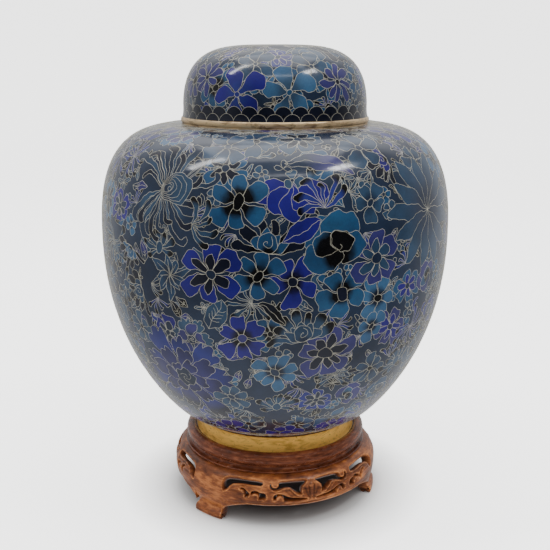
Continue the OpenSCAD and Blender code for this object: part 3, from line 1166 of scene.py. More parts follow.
@dataclass
class Carving:
    """A curved board with pierced openings and a carved face.

    Outlines are drawn in millimetres along the board at its bulge and height over the table.

    Args:
        face: radius and height of the face from its foot up.
        outline: edge of the board.
        openings: edges of its openings.
        grooves: carved lines, each a start, an end and a depth.
        thickness: of the board.
        round_off: how far from an opening its edge is rounded.
        grid: spacing of the mesh.
    """

    face: list[tuple[float, float]]
    outline: Outline
    openings: list[Outline]
    grooves: list[tuple[complex, complex, float]] = field(default_factory=list)
    thickness: float = 3.6
    round_off: float = 0.65
    grid: float = 0.55
    bulge_r: float = 54.0

    def build(self, name: str, turn: float) -> bpy.types.Object:
        """Makes the piece.

        Args:
            name: its name.
            turn: azimuth of its middle, in degrees.

        Returns:
            The new object.
        """
        line = np.array(self.face)
        along = np.concatenate(([0.0], np.cumsum(np.hypot(*np.diff(line, axis=0).T))))

        def up_face(shape: Outline) -> Outline:
            """The outline with heights turned into lengths up the face."""
            return [complex(p.real, float(np.interp(p.imag, line[:, 1], along))) for p in shape]

        shapes = [up_face(shape) for shape in (self.outline, *self.openings)]
        verts: list[Vector] = []
        faces: list[list[int]] = []
        for shape in shapes:
            shape = closer(shape, self.grid * 0.9)
            if _signed_area(shape) < 0:
                shape.reverse()
            first = len(verts)
            verts += [Vector((p.real, p.imag)) for p in shape]
            faces.append(list(range(first, len(verts))))
        border = np.array([(v.x, v.y) for v in verts])
        low, high = border.min(0), border.max(0)
        rows = int((high[1] - low[1]) / self.grid)
        for i in range(1, rows):
            y = low[1] + self.grid * i
            verts += [Vector((low[0] + self.grid * (k + 0.5 * (i % 2)), y))
                      for k in range(1, int((high[0] - low[0]) / self.grid))]
        out, _, tris, _, _, sources = delaunay_2d_cdt(verts, [], faces, 0, 1e-5, True)
        flat = np.array([(v.x, v.y) for v in out])
        keep = np.array([t for t, source in zip(tris, sources) if list(source) == [0]])
        edges: dict[tuple[int, int], int] = {}
        for a, b, c in keep.tolist():
            for edge in ((a, b), (b, c), (c, a)):
                edges[edge] = edges.get(edge, 0) + 1
        rims = [e for e in edges if (e[1], e[0]) not in edges]
        gap = np.full(len(flat), np.inf)
        for a, b in rims:
            far = np.maximum((abs(flat[a, 0]), flat[a, 1]), (abs(flat[b, 0]), flat[b, 1]))
            if (far < high - 0.05).all():
                gap = np.minimum(gap, _distance(flat, flat[a], flat[b]))
        drop = 0.5 * np.clip(1 - gap / self.round_off, 0, 1) ** 2
        hollow = np.zeros(len(flat))
        for start, finish, depth in self.grooves:
            start, finish = up_face([start, finish])
            near = _distance(flat, np.array([start.real, start.imag]), np.array([finish.real, finish.imag]))
            cut = np.clip(1 - near / 0.62, 0, 1) ** 1.2
            drop = np.maximum(drop, depth * cut)
            # painted shade: each groove is also darkened in colour by its depth
            hollow = np.maximum(hollow, 0.95 * cut * depth)
        # lighter band just inside each opening's rounded edge: partly worn stain, partly painted highlight
        wear = np.clip(1 - np.abs(gap - 0.6) / 0.6, 0, 1)
        outer = self._bent(flat, drop, turn)
        inner = self._bent(flat, np.full(len(flat), self.thickness), turn)
        count = len(flat)
        solid = keep.tolist() + (keep[:, ::-1] + count).tolist()
        solid += [(b, a, a + count, b + count) for a, b in rims]
        mesh = bpy.data.meshes.new(name)
        mesh.from_pydata((np.concatenate((outer, inner)) * MM).tolist(), [], solid)
        # hollow is painted shade: grooves by their depth, and the whole back face at 0.7
        for label, values in (("wear", np.concatenate((wear, np.zeros(count)))),
                              ("hollow", np.concatenate((hollow, np.full(count, 0.7))))):
            layer = mesh.attributes.new(label, "FLOAT", "POINT")
            layer.data.foreach_set("value", values)
        piece = bpy.data.objects.new(name, mesh)
        bpy.context.scene.collection.objects.link(piece)
        deselect()
        piece.select_set(True)
        bpy.context.view_layer.objects.active = piece
        bpy.ops.object.mode_set(mode="EDIT")
        bpy.ops.mesh.select_all(action="SELECT")
        bpy.ops.mesh.delete_loose()
        bpy.ops.mesh.select_all(action="SELECT")
        bpy.ops.mesh.normals_make_consistent(inside=False)
        bpy.ops.object.mode_set(mode="OBJECT")
        bpy.ops.object.shade_smooth_by_angle(angle=math.radians(50))
        return piece

    def _bent(self, flat: np.ndarray, depth: np.ndarray, turn: float) -> np.ndarray:
        """Bends flat positions round the axis, sunk under the face by a depth."""
        line = np.array(self.face)
        steps = np.hypot(*np.diff(line, axis=0).T)
        along = np.concatenate(([0.0], np.cumsum(steps)))
        fine = np.linspace(0, along[-1], 400)
        r, z = np.interp(fine, along, line[:, 0]), np.interp(fine, along, line[:, 1])
        smooth = np.ones(15) / 15
        nr, nz = (np.convolve(np.pad(g, 7, "edge"), smooth, "valid")
                  for g in (np.gradient(z, fine), -np.gradient(r, fine)))
        size = np.hypot(nr, nz)
        radius, height, out, up = (np.interp(flat[:, 1], fine, t) for t in (r, z, nr / size, nz / size))
        radius = radius - out * depth
        height = np.maximum(height - up * depth, 0.0)
        azimuth = math.radians(turn) + flat[:, 0] / self.bulge_r
        return np.stack([radius * np.sin(azimuth), -radius * np.cos(azimuth), height], 1)


def _distance(points: np.ndarray, start: np.ndarray, end: np.ndarray) -> np.ndarray:
    """Distance of each point from a straight line between two others."""
    run = end - start
    share = np.clip(((points - start) @ run) / max(float(run @ run), 1e-12), 0, 1)
    return np.hypot(*(points - start - share[:, None] * run).T)


@dataclass
class Stand:
    """The stand: a turned tray and waist on three carved panels and three legs.

    Sizes are in millimetres, and angles in degrees.
    """

    seat_z: float = 34.5
    lip_z: float = 36.5
    widest_z: float = 33.5
    crest_r: float = 44.9
    tray_z: float = 30.0
    rim_r: float = 48.3
    recess_r: float = 43.4
    waist_z: float = 26.4
    waist_r: float = 46.0
    bead_r: float = 48.7
    spigot_r: float = 38.0
    apron_r: float = 54.8
    apron_z: float = 11.5
    bulge_z: float = 17.5
    panel_turn: float = 20.0
    leg_half: float = 10.0

    def tray(self) -> bpy.types.Object:
        """The tray with its rounded rim and the recess for the jar's foot."""
        floor_r = self.waist_r + 0.8
        side = arc((floor_r, self.widest_z), self.rim_r - floor_r, self.widest_z - self.tray_z, -90, -8, 12)
        crown = arc((self.crest_r, self.widest_z), self.rim_r - self.crest_r - 0.1,
                    self.lip_z - self.widest_z, 6, 90, 20)
        spigot = [(0.01, self.waist_z), (self.spigot_r, self.waist_z), (self.spigot_r, self.tray_z)]
        slope = [(self.recess_r + out, self.seat_z + up) for out, up in ((0.5, 1.45), (0.1, 1.2), (0, 0.9))]
        floor = [(self.recess_r, self.seat_z), (0.01, self.seat_z)]
        return turned("tray", [*spigot, *side, *crown, *slope, *floor])

    def waist(self) -> bpy.types.Object:
        """The waist with its small bead."""
        bead = arc((self.bead_r - 0.6, self.waist_z + 0.5), 0.6, 0.5, -90, 100, 10)
        throat = arc((self.waist_r + 1.0, self.waist_z + 2.2), 1.3, 1.2, 250, 120, 10)
        return turned("waist", [(self.spigot_r + 0.1, self.waist_z), *bead, *throat,
                                (self.waist_r, self.tray_z), (self.spigot_r + 0.1, self.tray_z)])

    def shoulder(self) -> list[tuple[float, float]]:
        """The face of panels and legs above the bulge, up to the waist."""
        return [*arc((self.apron_r - 7.2, self.bulge_z), 7.2, self.waist_z - self.bulge_z, 0, 80, 16),
                (47.0, self.waist_z - 0.03)]

    def openings(self) -> list[Outline]:
        """Openings of a whole panel: scrolls on one side and their mirror image on the other."""
        half = [
            # over the long leaf, with its end turned down beside the leg
            [-46.2 + 17.1j, -46.9 + 20.4j, -46 + 23j, -43.6 + 24.2j, -36 + 24.7j, -25.3 + 24.3j, -25 + 22.3j,
             -29 + 22.2j, -35 + 22.7j, -39.5 + 22.3j, -42.2 + 20.8j, -43.6 + 18.6j, -45.4 + 17.2j],
            # hook under the leaf's root
            [-36.8 + 19.6j, -36 + 20.5j, -34.4 + 20.2j, -32.8 + 18.8j, -31.7 + 17.6j, -32.6 + 16j,
             -34.2 + 15.7j, -33.8 + 17j, -34.4 + 18.6j, -35.4 + 19.5j],
            # round the first knob and out to a point
            [-31.2 + 17.9j, -30.4 + 19.2j, -28.2 + 19.6j, -26.2 + 18.6j, -23.6 + 18.4j, -23.2 + 15.2j,
             -27.2 + 14.5j, -26.6 + 16.6j, -27.8 + 18.2j, -29.6 + 18.2j, -30.7 + 17.3j],
            # hook round the pendant knob, open into the space beside the lotus
            [-21.6 + 23.2j, -20.8 + 23.3j, -20.7 + 21.9j, -19.4 + 21.2j, -17.8 + 21.3j, -17 + 22.2j,
             -16.8 + 24.2j, -9 + 24.4j, -1.9 + 24.1j, -3.6 + 22.8j, -5.4 + 21.4j, -5.8 + 19j, -5.3 + 17.4j,
             -6.5 + 17.1j, -9 + 19.4j, -11.4 + 21.7j, -13.4 + 21.6j, -15.8 + 21j, -17.4 + 20.2j,
             -19.6 + 20.1j, -21.3 + 21.2j],
            # round the lower knob and along the edge to the middle
            [-19.7 + 14.9j, -19.6 + 17.2j, -17.6 + 18.3j, -14.8 + 17.9j, -12.2 + 16.4j, -8 + 15.6j,
             -2.4 + 14.9j, -2.4 + 14j, -8.6 + 13.6j, -14.2 + 13.9j, -14.4 + 15.8j, -16.2 + 17.2j,
             -18 + 16.7j, -18.3 + 15j]
        ]
        half = [smoothed(shape) for shape in half]
        return half + [[complex(-p.real, p.imag) for p in shape] for shape in half]

    def grooves(self) -> list[tuple[complex, complex, float]]:
        """Lines carved into a panel: the lotus, the leaves, and the edge of the arch."""
        half = [(-0.9 + 14.6j, -1.5 + 21.6j, 0.8), (-1.5 + 21.6j, -0.1 + 23.4j, 0.5),
                (-1.4 + 14.8j, -3.4 + 20.4j, 0.7), (-4.4 + 16j, -5.4 + 17.6j, 0.5),
                (-11.8 + 20.6j, -8.2 + 16.8j, 0.7), (-8.2 + 16.8j, -4.6 + 15.6j, 0.5),
                (-13.6 + 20.2j, -10.6 + 16.9j, 0.5), (-15 + 19.6j, -21.5 + 19.2j, 0.4),
                (-40.6 + 21j, -34 + 21.5j, 0.6), (-34 + 21.5j, -26.4 + 20.9j, 0.5),
                (-36.4 + 18.6j, -42 + 18.8j, 0.35), (-32 + 20.2j, -26 + 19.8j, 0.4),
                (-28.9 + 16.4j, -27.9 + 17j, 0.45), (-16.4 + 15.4j, -15.8 + 16.2j, 0.45),
                (-19.2 + 22.6j, -18.4 + 22.4j, 0.45), (-46 + 11.4j, -30 + 12.7j, 0.3),
                (-30 + 12.7j, 12.7j, 0.3)]
        return half + [(complex(-a.real, a.imag), complex(-b.real, b.imag), depth) for a, b, depth in half]

    def panel(self, name: str, turn: float) -> bpy.types.Object:
        """One pierced panel.

        Args:
            name: its name.
            turn: azimuth of its middle.

        Returns:
            The new object.
        """
        reach = math.radians(60 - self.leg_half) * Carving.bulge_r - 0.01
        top, foot = self.waist_z - 0.03, 5.6
        face = [(self.apron_r - 1.2, 4.0), (self.apron_r - 0.6, 10.0), (self.apron_r - 0.1, 14.5),
                *self.shoulder()]
        sweep = [complex(reach - (reach - 33) * t, foot + (self.apron_z - foot) * t ** 0.55)
                 for t in (i / 10 for i in range(11))]
        outline = [complex(-reach, top), *[complex(-p.real, p.imag) for p in sweep], *sweep[::-1],
                   complex(reach, top)]
        return Carving(face, outline, self.openings(), self.grooves()).build(name, turn)

    def leg(self, name: str, turn: float) -> bpy.types.Object:
        """One leg with its flared foot.

        Args:
            name: its name.
            turn: azimuth of its middle.

        Returns:
            The new object.
        """
        reach = math.radians(self.leg_half) * Carving.bulge_r - 0.01
        profile = ((0.3, 0.0), (0, 0.6), (0, 2.6), (0.7, 3.7), (2.4, 4.6), (2.4, 6.2), (1.2, 8.6),
                   (0.6, 10.6), (0.1, 14.5))
        face = [(self.apron_r - sunk, up) for sunk, up in profile] + self.shoulder()
        foot = reach * 0.97
        side = [complex(reach, self.waist_z - 0.03), complex(reach, 7.4), complex(foot - 0.6, 5.8),
                complex(foot, 4.2), complex(foot, 0)]
        outline = [complex(-p.real, p.imag) for p in side] + side[::-1]
        return Carving(face, outline, [], [], 5.0, 0.7).build(name, turn)

    def build(self, finishes: dict[str, bpy.types.Material]) -> list[bpy.types.Object]:
        """Makes all the pieces, dresses them and puts them in place of their plain parts."""
        made = [(self.tray(), "stand_tray", "turned_wood", "dark_wood"),
                (self.waist(), "stand_waist", "turned_wood", "dark_wood")]
        for k, node in enumerate(("apron_front", "apron_rear", "apron_left")):
            made.append((self.panel(node.replace("apron", "carved_panel"), self.panel_turn + 120 * k), node,
                         "carved_wood", "carved_wood"))
        for k, node in enumerate(("leg_left", "leg_right", "leg_rear")):
            made.append((self.leg(node.replace("leg", "carved_leg"), self.panel_turn - 60 + 120 * k), node,
                         "carved_wood", "carved_wood"))
        for piece, node, finish, slot in made:
            settle(piece, "stand", finishes[finish], slot, node)
        return [piece for piece, *_ in made]


def settle(piece: bpy.types.Object, body: str, material: bpy.types.Material, slot: str, *nodes: str) -> None:
    """Dresses a finished piece and fixes it to its body.

    Args:
        piece: the piece, in place.
        body: the body it rides on.
        material: its finish.
        slot: the record's slot for that finish; not used.
        nodes: the plain parts that it stands for.
    """
    piece.data.materials.clear()
    piece.data.materials.append(material)
    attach(piece, body)
    if nodes:
        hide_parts(*nodes)
    log.info("%s rides on %s with %d faces", piece.name, body, len(piece.data.polygons))


# ---------------------------------------------------------------- the two enamelled surfaces


TEAL_DARK = Firing(Glass.BLACK, Glass.TEAL, 0.42, 0.12)
SKY_DARK = Firing(Glass.NIGHT, Glass.SKY, 0.4, 0.2)
COBALT_DARK = Firing(Glass.BLACK, Glass.COBALT, 0.38, 0.16)
ROYAL_DARK = Firing(Glass.NIGHT, Glass.ROYAL, 0.35, 0.2)
VIOLET_DARK = Firing(Glass.SLATE, Glass.VIOLET, 0.4, 0.25)
STEEL_DARK = Firing(Glass.SLATE, Glass.STEEL, 0.4, 0.25)
HOOKED = Firing(Glass.ROYAL, Glass.BLACK, 0.7, 0.1)
HOOKED_SLATE = Firing(Glass.STEEL, Glass.BLACK, 0.7, 0.12)
NIGHT_LEAF = Firing(Glass.BLACK, Glass.NIGHT)
NIGHT_TIPS = Firing(Glass.STEEL, Glass.NIGHT, 0.5, 0.2)
FLOWERS = (TEAL_DARK, STEEL_DARK, COBALT_DARK, SKY_DARK, VIOLET_DARK, STEEL_DARK, NIGHT_TIPS, TEAL_DARK,
           ROYAL_DARK)


def mixed_flower(rng: random.Random, radius: float) -> Motif:
    """One flower of a kind drawn at random.

    Args:
        rng: the source of chance.
        radius: its rough radius.

    Returns:
        Its cells.
    """
    firing = rng.choice(FLOWERS)
    kind = rng.randrange(10)
    if kind <= 2:
        return blossom(radius, firing, rng.choice((5, 6, 7)), rng.uniform(0.85, 1.0), rng.uniform(0.05, 0.2),
                       start=rng.uniform(0, 2), squash=rng.uniform(0.8, 1.5))
    if kind <= 4:
        return blossom(radius * 1.05, firing, rng.choice((5, 6)), 1.0, 0.16, Glass.SLATE, 0.16,
                       plain(rng.choice((Glass.NIGHT, Glass.SLATE, Glass.COBALT))), rng.uniform(0, 2))
    if kind == 5:
        return rose(radius, firing, rng.choice((STEEL_DARK, TEAL_DARK)))
    if kind == 6:
        return fan(radius * 1.1, firing, rng.choice((HOOKED, NIGHT_LEAF)))
    if kind == 7:
        return butterfly(radius * 1.1, rng.choice((HOOKED_SLATE, firing)))
    if kind == 8:
        return peony(radius, firing, rng.choice(FLOWERS), 2, 7)
    return streamers(radius * 1.35, 9, rng.choice((HOOKED, HOOKED_SLATE)), radius * 0.26, 0.4, 2.2, 0.0, 4.6)


def small_filler(rng: random.Random, size: float) -> Motif:
    """One small leaf, curl, bud or cluster drawn at random.

    Args:
        rng: the source of chance.
        size: its rough radius.

    Returns:
        Its cells.
    """
    kind = rng.randrange(9)
    if kind <= 1:
        return leaf(size * 1.9, size * 0.8, rng.choice((STEEL_DARK, VIOLET_DARK, TEAL_DARK, NIGHT_LEAF)), 2)
    if kind == 2:
        return scroll(size * 0.7, rng.choice((NIGHT_LEAF, plain(Glass.STEEL), ROYAL_DARK)),
                      rng.choice((-1.0, 1.0)))
    if kind == 3:
        return blossom(size, rng.choice((SKY_DARK, TEAL_DARK, STEEL_DARK)), 5, 1.0, 0.05, Glass.SLATE, 0.24)
    if kind == 4:
        return berries(size * 0.55, rng.choice((Glass.NIGHT, Glass.TEAL)))
    if kind == 5:
        return star_weed(size * 1.3, rng.choice((STEEL_DARK, NIGHT_LEAF)), 5)
    if kind == 6:
        return trefoil(size * 0.7)
    return streamers(size * 1.7, 4, rng.choice((HOOKED, HOOKED_SLATE)), size * 0.42, 0.35, 2.3, 0.0, 1.9)


@dataclass
class JarDesign:
    """The jar's outline and the flowers on it. Sizes are in millimetres, and azimuths in degrees."""

    neck_r: float = 47.0
    core_r: float = 36.0
    square: tuple[float, float] = (3.66, 2.53)
    belly_r: float = 89.0
    taper: tuple[float, float] = (38.2, 40.0)
    bow: tuple[float, float] = (2.138, 1.337)
    turn_in: tuple[float, float] = (52.0, 2.3)
    belly_z: float = 144.0
    seed: int = 7

    def surface(self) -> JarSurface:
        """The enamel's outer surface, from the frame's own size."""
        low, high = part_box("jar_enamel")
        top, foot = high.z / MM, low.z / MM
        rise = np.linspace(math.pi / 2, 0, 1500)
        across = self.core_r + (self.belly_r - self.core_r) * np.cos(rise) ** (2 / self.square[0])
        up = self.belly_z + (top + 0.15 - self.belly_z) * np.sin(rise) ** (2 / self.square[1])
        keep = across >= self.neck_r
        drop = np.linspace(0, 1, 1500)[1:]
        end_r, end_z = self.taper
        lower_r = end_r + (self.belly_r - end_r) * (1 - drop ** self.bow[0]) ** (1 / self.bow[1])
        lower_z = self.belly_z - (self.belly_z - end_z) * drop
        start, amount = self.turn_in
        lower_r = lower_r - amount * (np.maximum(start - lower_z, 0) / (start - foot)) ** 2
        stay = lower_z >= foot
        return JarSurface(np.concatenate((across[keep], lower_r[stay])),
                          np.concatenate((up[keep], lower_z[stay])))

    def heroes(self) -> list[tuple[Motif, float, float, float, float]]:
        """The large flowers of the front: cells, azimuth, height, turn and size, from low to high."""
        cobalt_tips = Firing(Glass.NIGHT, Glass.COBALT, 0.35, 0.2)
        violet_ring = Firing(Glass.NIGHT, Glass.VIOLET, 0.35, 0.2)
        night_royal = Firing(Glass.ROYAL, Glass.NIGHT, 0.8, 0.4)
        night_violet = Firing(Glass.VIOLET, Glass.NIGHT, 0.85, 0.5)
        black_teal = Firing(Glass.BLACK, Glass.TEAL, 0.5, 0.1)
        return [
            (blossom(10, cobalt_tips, 7, 1.0, 0.1, Glass.COBALT, 0.3), 5, 51, 0, 7),
            (blossom(10, cobalt_tips, 6, 1.0, 0.1, Glass.NIGHT, 0.2), -22, 53, 30, 7),
            (peony(10, cobalt_tips, cobalt_tips, 2, 7), 30, 52, 0, 7),
            (peony(11, cobalt_tips, cobalt_tips, 2, 7), -50, 54, 0, 7),
            (peony(27, night_royal, night_violet, 3, 10), -33, 84, 10, 25),
            (blossom(9, STEEL_DARK, 7, 0.95, 0.1, Glass.SLATE, 0.2), -16, 76, 0, 7),
            (leaf(17, 10, STEEL_DARK, 4, 0.3), -20, 113, 55, 8),
            (blossom(13, COBALT_DARK, 6, 0.9, 0.22, Glass.VIOLET, 0.17), -10, 109, 20, 12),
            (blossom(11.5, SKY_DARK, 8, 0.95, 0.08, Glass.SLATE, 0.2, start=0.1), 0, 92, 8, 11),
            (blossom(15, violet_ring, 7, 1.05, 0.12, Glass.NIGHT, 0.18, plain(Glass.NIGHT), 0.2, 1.6),
             16, 101, 60, 14),
            (blossom(8, SKY_DARK, 5, 1.0, 0.05, Glass.NIGHT, 0.2), 30.5, 112, 15, 7),
            (fan(16, STEEL_DARK, HOOKED_SLATE), 8.5, 108, 10, 13),
            (leaf(17, 5, NIGHT_LEAF, 0, 0.9), 3, 116, 115, 5),
            (blossom(13, TEAL_DARK, 5, 1.0, 0.12, Glass.NIGHT, 0.2, start=0.9, squash=1.4), 19.5, 130, 0, 12),
            (blossom(12.5, COBALT_DARK, 5, 0.9, 0.12, Glass.NIGHT, 0.18), 5, 136, 30, 11),
            (blossom(12, TEAL_DARK, 6, 0.9, 0.06, Glass.BLACK, 0.2), -4.5, 139, 5, 11),
            (star_weed(14, STEEL_DARK, 9), -31.5, 136, 20, 12),
            (blossom(16, COBALT_DARK, 6, 0.9, 0.1, Glass.SLATE, 0.14, plain(Glass.NIGHT), 0.5),
             -18.5, 139, 0, 14),
            (blossom(14, violet_ring, 6, 1.0, 0.12, Glass.SLATE, 0.19, plain(Glass.STEEL)), 30, 144, 12, 13),
            (rose(18, TEAL_DARK, Firing(Glass.BLACK, Glass.TEAL, 0.6, 0.1)), 17, 152, 0, 16),
            (fan(17, TEAL_DARK, NIGHT_LEAF, 4), -2, 149, -4, 14),
            (leaf(20, 9, plain(Glass.COBALT), 0, 0.2), 13, 163, -155, 7),
            (blossom(9, STEEL_DARK, 5, 1.0, 0.14, Glass.SLATE, 0.2), 28.5, 169, 30, 8),
            (rays(17, 5, plain(Glass.COBALT), 11, math.radians(205), math.radians(165), 0.05),
             5, 178.5, 0, 13),
            (blossom(4.6, plain(Glass.STEEL), 3, 1.0, 0.0, Glass.SLATE, 0.2, start=math.pi * 1.17),
             5, 179.5, 0, 4),
            (blossom(14, black_teal, 6, 0.88, 0.06, Glass.BLACK, 0.17, start=0.55, squash=1.6),
             -10.5, 170, 0, 12),
            (rays(28, 13, Firing(Glass.SLATE, Glass.STEEL, 0.5, 0.4), 8, 0.2), 53, 162, 0, 23),
            (streamers(27, 12, Firing(Glass.STEEL, Glass.SLATE, 0.6, 0.2), 4.0, 0.5, 2.6, math.radians(-160),
                       math.radians(290), 0.16), -34.5, 174, 0, 22),
            (streamers(24, 11, Firing(Glass.SLATE, Glass.NIGHT, 0.6, 0.2), 3.4, 0.5, 2.6, math.radians(-148),
                       math.radians(290), 0.2), -34.5, 174, 0, 20),
            (shell(15, Firing(Glass.SLATE, Glass.STEEL, 0.5, 0.3), 5, 0.1), -34.5, 174, 0, 11),
            (leaf(34, 8, VIOLET_DARK, 0, -0.9), 3, 186, 15, 8),
            (trefoil(4.2), 2.5, 184, 0, 3),
            (blossom(12, STEEL_DARK, 6, 0.9, 0.1, Glass.SLATE, 0.15), -16.5, 192, 0, 11),
            (blossom(12, STEEL_DARK, 5, 0.95, 0.1, Glass.SLATE, 0.15), 30.5, 191, 0, 11),
            (streamers(15, 6, HOOKED, 3.6, 0.5, 2.4, math.radians(20), math.radians(150), 0.2),
             14, 168, 0, 9),
            (streamers(13, 5, HOOKED_SLATE, 3.4, 0.5, 2.4, math.radians(-70), math.radians(140), 0.2),
             -24, 160, 0, 8)
        ]

    def pattern(self, surface: JarSurface) -> Pattern:
        """Draws the whole pattern: small fillers, then flowers all round, then the front's own."""
        rng = random.Random(self.seed)
        pattern = Pattern(surface, Firing(Glass.SLATE, Glass.SLATE))
        heroes = [(cells, azimuth, surface.at_height(z), turn, size)
                  for cells, azimuth, z, turn, size in self.heroes()]
        taken = [(azimuth, s, 0.8 * size) for _, azimuth, s, _, size in heroes]
        flowers = scattered(surface, rng, mixed_flower, 18.5, (8.5, 12.0), taken, 2.0)
        taken += [(azimuth, s, 0.55 * size) for _, azimuth, s, _, size in flowers]
        fillers = scattered(surface, rng, small_filler, 8.2, (3.8, 5.6), taken, -1.0)
        for cells, azimuth, s, turn, _ in (*fillers, *flowers, *heroes):
            pattern.place(cells, azimuth, s, turn)
        return pattern


Placed = tuple[Motif, float, float, float, float]


def scattered(surface: Surface, rng: random.Random, draw: Callable[[random.Random, float], Motif],
              spacing: float, sizes: tuple[float, float], taken: Sequence[tuple[float, float, float]],
              margin: float) -> list[Placed]:
    """Motifs drawn at random and spread over a surface, except where something lies already.

    Args:
        surface: what they lie on.
        rng: the source of chance.
        draw: makes one of a given size.
        spacing: rough distance between them, in millimetres.
        sizes: smallest and largest.
        taken: azimuth, place along the outline and radius of what lies there.
        margin: least distance from that.

    Returns:
        Cells, azimuth, place, turn and size of each.
    """
    spread: list[Placed] = []
    rows = round(surface.length / spacing)
    for i in range(rows + 1):
        row = surface.length * i / rows
        count = max(1, round(FULL_TURN * surface.radius(row) / spacing))
        for k in range(count):
            azimuth = 360 * (k + 0.5 * (i % 2)) / count + rng.uniform(-0.17, 0.17) * 360 / count
            s = row + rng.uniform(-0.18, 0.18) * spacing
            size, turn = rng.uniform(*sizes), rng.uniform(0, 360)
            motif = draw(rng, size)
            if all(math.hypot(math.radians((azimuth - at + 180) % 360 - 180) * surface.radius(s), s - there)
                   > radius + margin for at, there, radius in taken):
                spread.append((motif, azimuth, s, turn, size))
    return spread


@dataclass
class LidDesign:
    """The lid's outline and the flowers on it. Sizes are in millimetres, and azimuths in degrees."""

    skirt_r: float = 46.4
    flare: float = 0.5
    straight: float = 3.0
    square: tuple[float, float] = (3.9, 2.48)
    scale_r: float = 4.1
    scale_pitch: float = 7.79
    scale_rise: float = 3.403
    scale_steady: float = 0.85
    below_edge: float = 0.5
    seed: int = 21

    def surface(self) -> LidSurface:
        """The enamel's outer surface, from the frame's own size."""
        low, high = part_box("lid_enamel")
        top, foot = high.z / MM, low.z / MM
        bend = foot + self.straight
        rise = np.linspace(math.pi / 2, 0, 1500)
        across = self.skirt_r * np.cos(rise) ** (2 / self.square[0])
        across[0] = 0.0
        up = bend + (top - bend) * np.sin(rise) ** (2 / self.square[1])
        down = np.linspace(0, 1, 60)[1:]
        return LidSurface(np.concatenate((across, self.skirt_r + self.flare * down ** 2)),
                          np.concatenate((up, bend - self.straight * down)))

    def pattern(self, surface: LidSurface) -> Pattern:
        """Draws the whole pattern: fillers, flowers, and two rows of scales along the edge."""
        rng = random.Random(self.seed)
        pattern = Pattern(surface, Firing(Glass.SLATE, Glass.SLATE))
        flowers = scattered(surface, rng, mixed_flower, 17.5, (8.5, 11.0), [], 0.0)
        taken = [(azimuth, s, 0.55 * size) for _, azimuth, s, _, size in flowers]
        fillers = scattered(surface, rng, small_filler, 8.0, (3.6, 5.0), taken, -1.0)
        for cells, azimuth, s, turn, _ in (*fillers, *flowers):
            pattern.place(cells, azimuth, s, turn)
        violet_drops = Firing(Glass.SLATE, Glass.VIOLET, 0.25, 0.3)
        cobalt_drops = Firing(Glass.ROYAL, Glass.COBALT, 0.5, 0.4)
        sky_drops = Firing(Glass.STEEL, Glass.SKY, 0.5, 0.4)
        front = [(blossom(10, STEEL_DARK, 6, 0.95, 0.0, Glass.SLATE, 0.12), -13, 227, 20),
                 (blossom(10, STEEL_DARK, 5, 1.0, 0.1, Glass.SLATE, 0.12), 24, 226, 50),
                 (blossom(14, sky_drops, 5, 0.8, 0.0, Glass.TEAL, 0.1), 8, 214.5, 12),
                 (blossom(13.5, cobalt_drops, 5, 0.85, 0.0, Glass.ROYAL, 0.1), -22, 213.5, 20),
                 (blossom(9, violet_drops, 8, 0.85, 0.0, Glass.NIGHT, 0.14), -47, 221, 0),
                 (blossom(10, violet_drops, 8, 0.8, 0.0, Glass.NIGHT, 0.14), 41, 218.5, 20)]
        for cells, azimuth, z, turn in front:
            pattern.place(cells, azimuth, surface.at_height(z), turn)
        count = round(FULL_TURN * self.skirt_r / self.scale_pitch)
        scale = [Cell(ring(self.scale_r, 20), NIGHT_LEAF)]
        for row in (1, 0):
            s = surface.length + self.below_edge - row * self.scale_rise
            for k in range(count):
                pattern.place(scale, 360 * (k + 0.5 * row) / count, s, 0.0, self.scale_steady)
        return pattern


@dataclass
class Enamelling:
    """How the enamel and its wires are made, in millimetres."""

    depth: float = 0.06
    wire_width: float = 0.25
    wire_proud: float = 0.05
    spacing: float = 3.2

    def apply(self, part: str, body: str, pattern: Pattern, rings: Sequence[str],
              finishes: dict[str, bpy.types.Material]) -> None:
        """Makes the glass and the wires of one surface, in place of its plain enamel.

        Args:
            part: start of the pieces' names.
            body: the body they ride on.
            pattern: what is drawn on it.
            rings: names of the rings that it is made in, from the outer one on the flat map.
            finishes: materials by name.
        """
        cut = pattern.cut(self.spacing)
        for ring_name, band in zip(rings, reversed(cut.bands(len(rings)))):
            name = f"{part}_{ring_name}"
            glass = cut.glass(f"{name}_enamel_cells", self.depth, band)
            settle(glass, body, finishes["cell_enamel"], "blue_enamel", f"{part}_enamel")
            wire = cut.wire(f"{name}_cloison_wires", self.wire_width, self.depth, self.wire_proud, band)
            settle(wire, body, finishes["gilt_wire"], "brass", f"{part}_enamel")


# ---------------------------------------------------------------- brass, hidden parts and the studio


@dataclass
class Metalwork:
    """The brass rings of the jar and the lid. Sizes are in millimetres."""

    foot_r: float = 42.3
    foot_inner: float = 38.8
    lid_ring_r: float = 47.6
    lid_inner: float = 44.6

    def build(self, finishes: dict[str, bpy.types.Material]) -> None:
        """Makes the rings that show, in place of their plain parts."""
        low, high = (corner.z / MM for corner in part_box("foot_ring"))
        hollow = arc((self.foot_r + 0.6, (low + high) / 2), 1.3, (high - low) / 2 - 0.7, 262, 98, 14)
        foot = turned("foot_band", [(self.foot_inner, low), (self.foot_r - 0.5, low),
                                    (self.foot_r, low + 0.5), *hollow, (self.foot_r, high - 0.4),
                                    (self.foot_r - 0.2, high), (self.foot_inner, high)])
        settle(foot, "jar", finishes["dull_brass"], "brass", "foot_ring")
        low, high = (corner.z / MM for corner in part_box("lid_rim"))
        bead = arc((self.lid_ring_r - 1.0, (low + high) / 2), 1.0, (high - low) / 2, -90, 90, 16)
        rim = turned("lid_edge_bead", [(self.lid_inner, low), *bead, (self.lid_inner, high)])
        settle(rim, "lid", finishes["rim_brass"], "brass", "lid_rim")


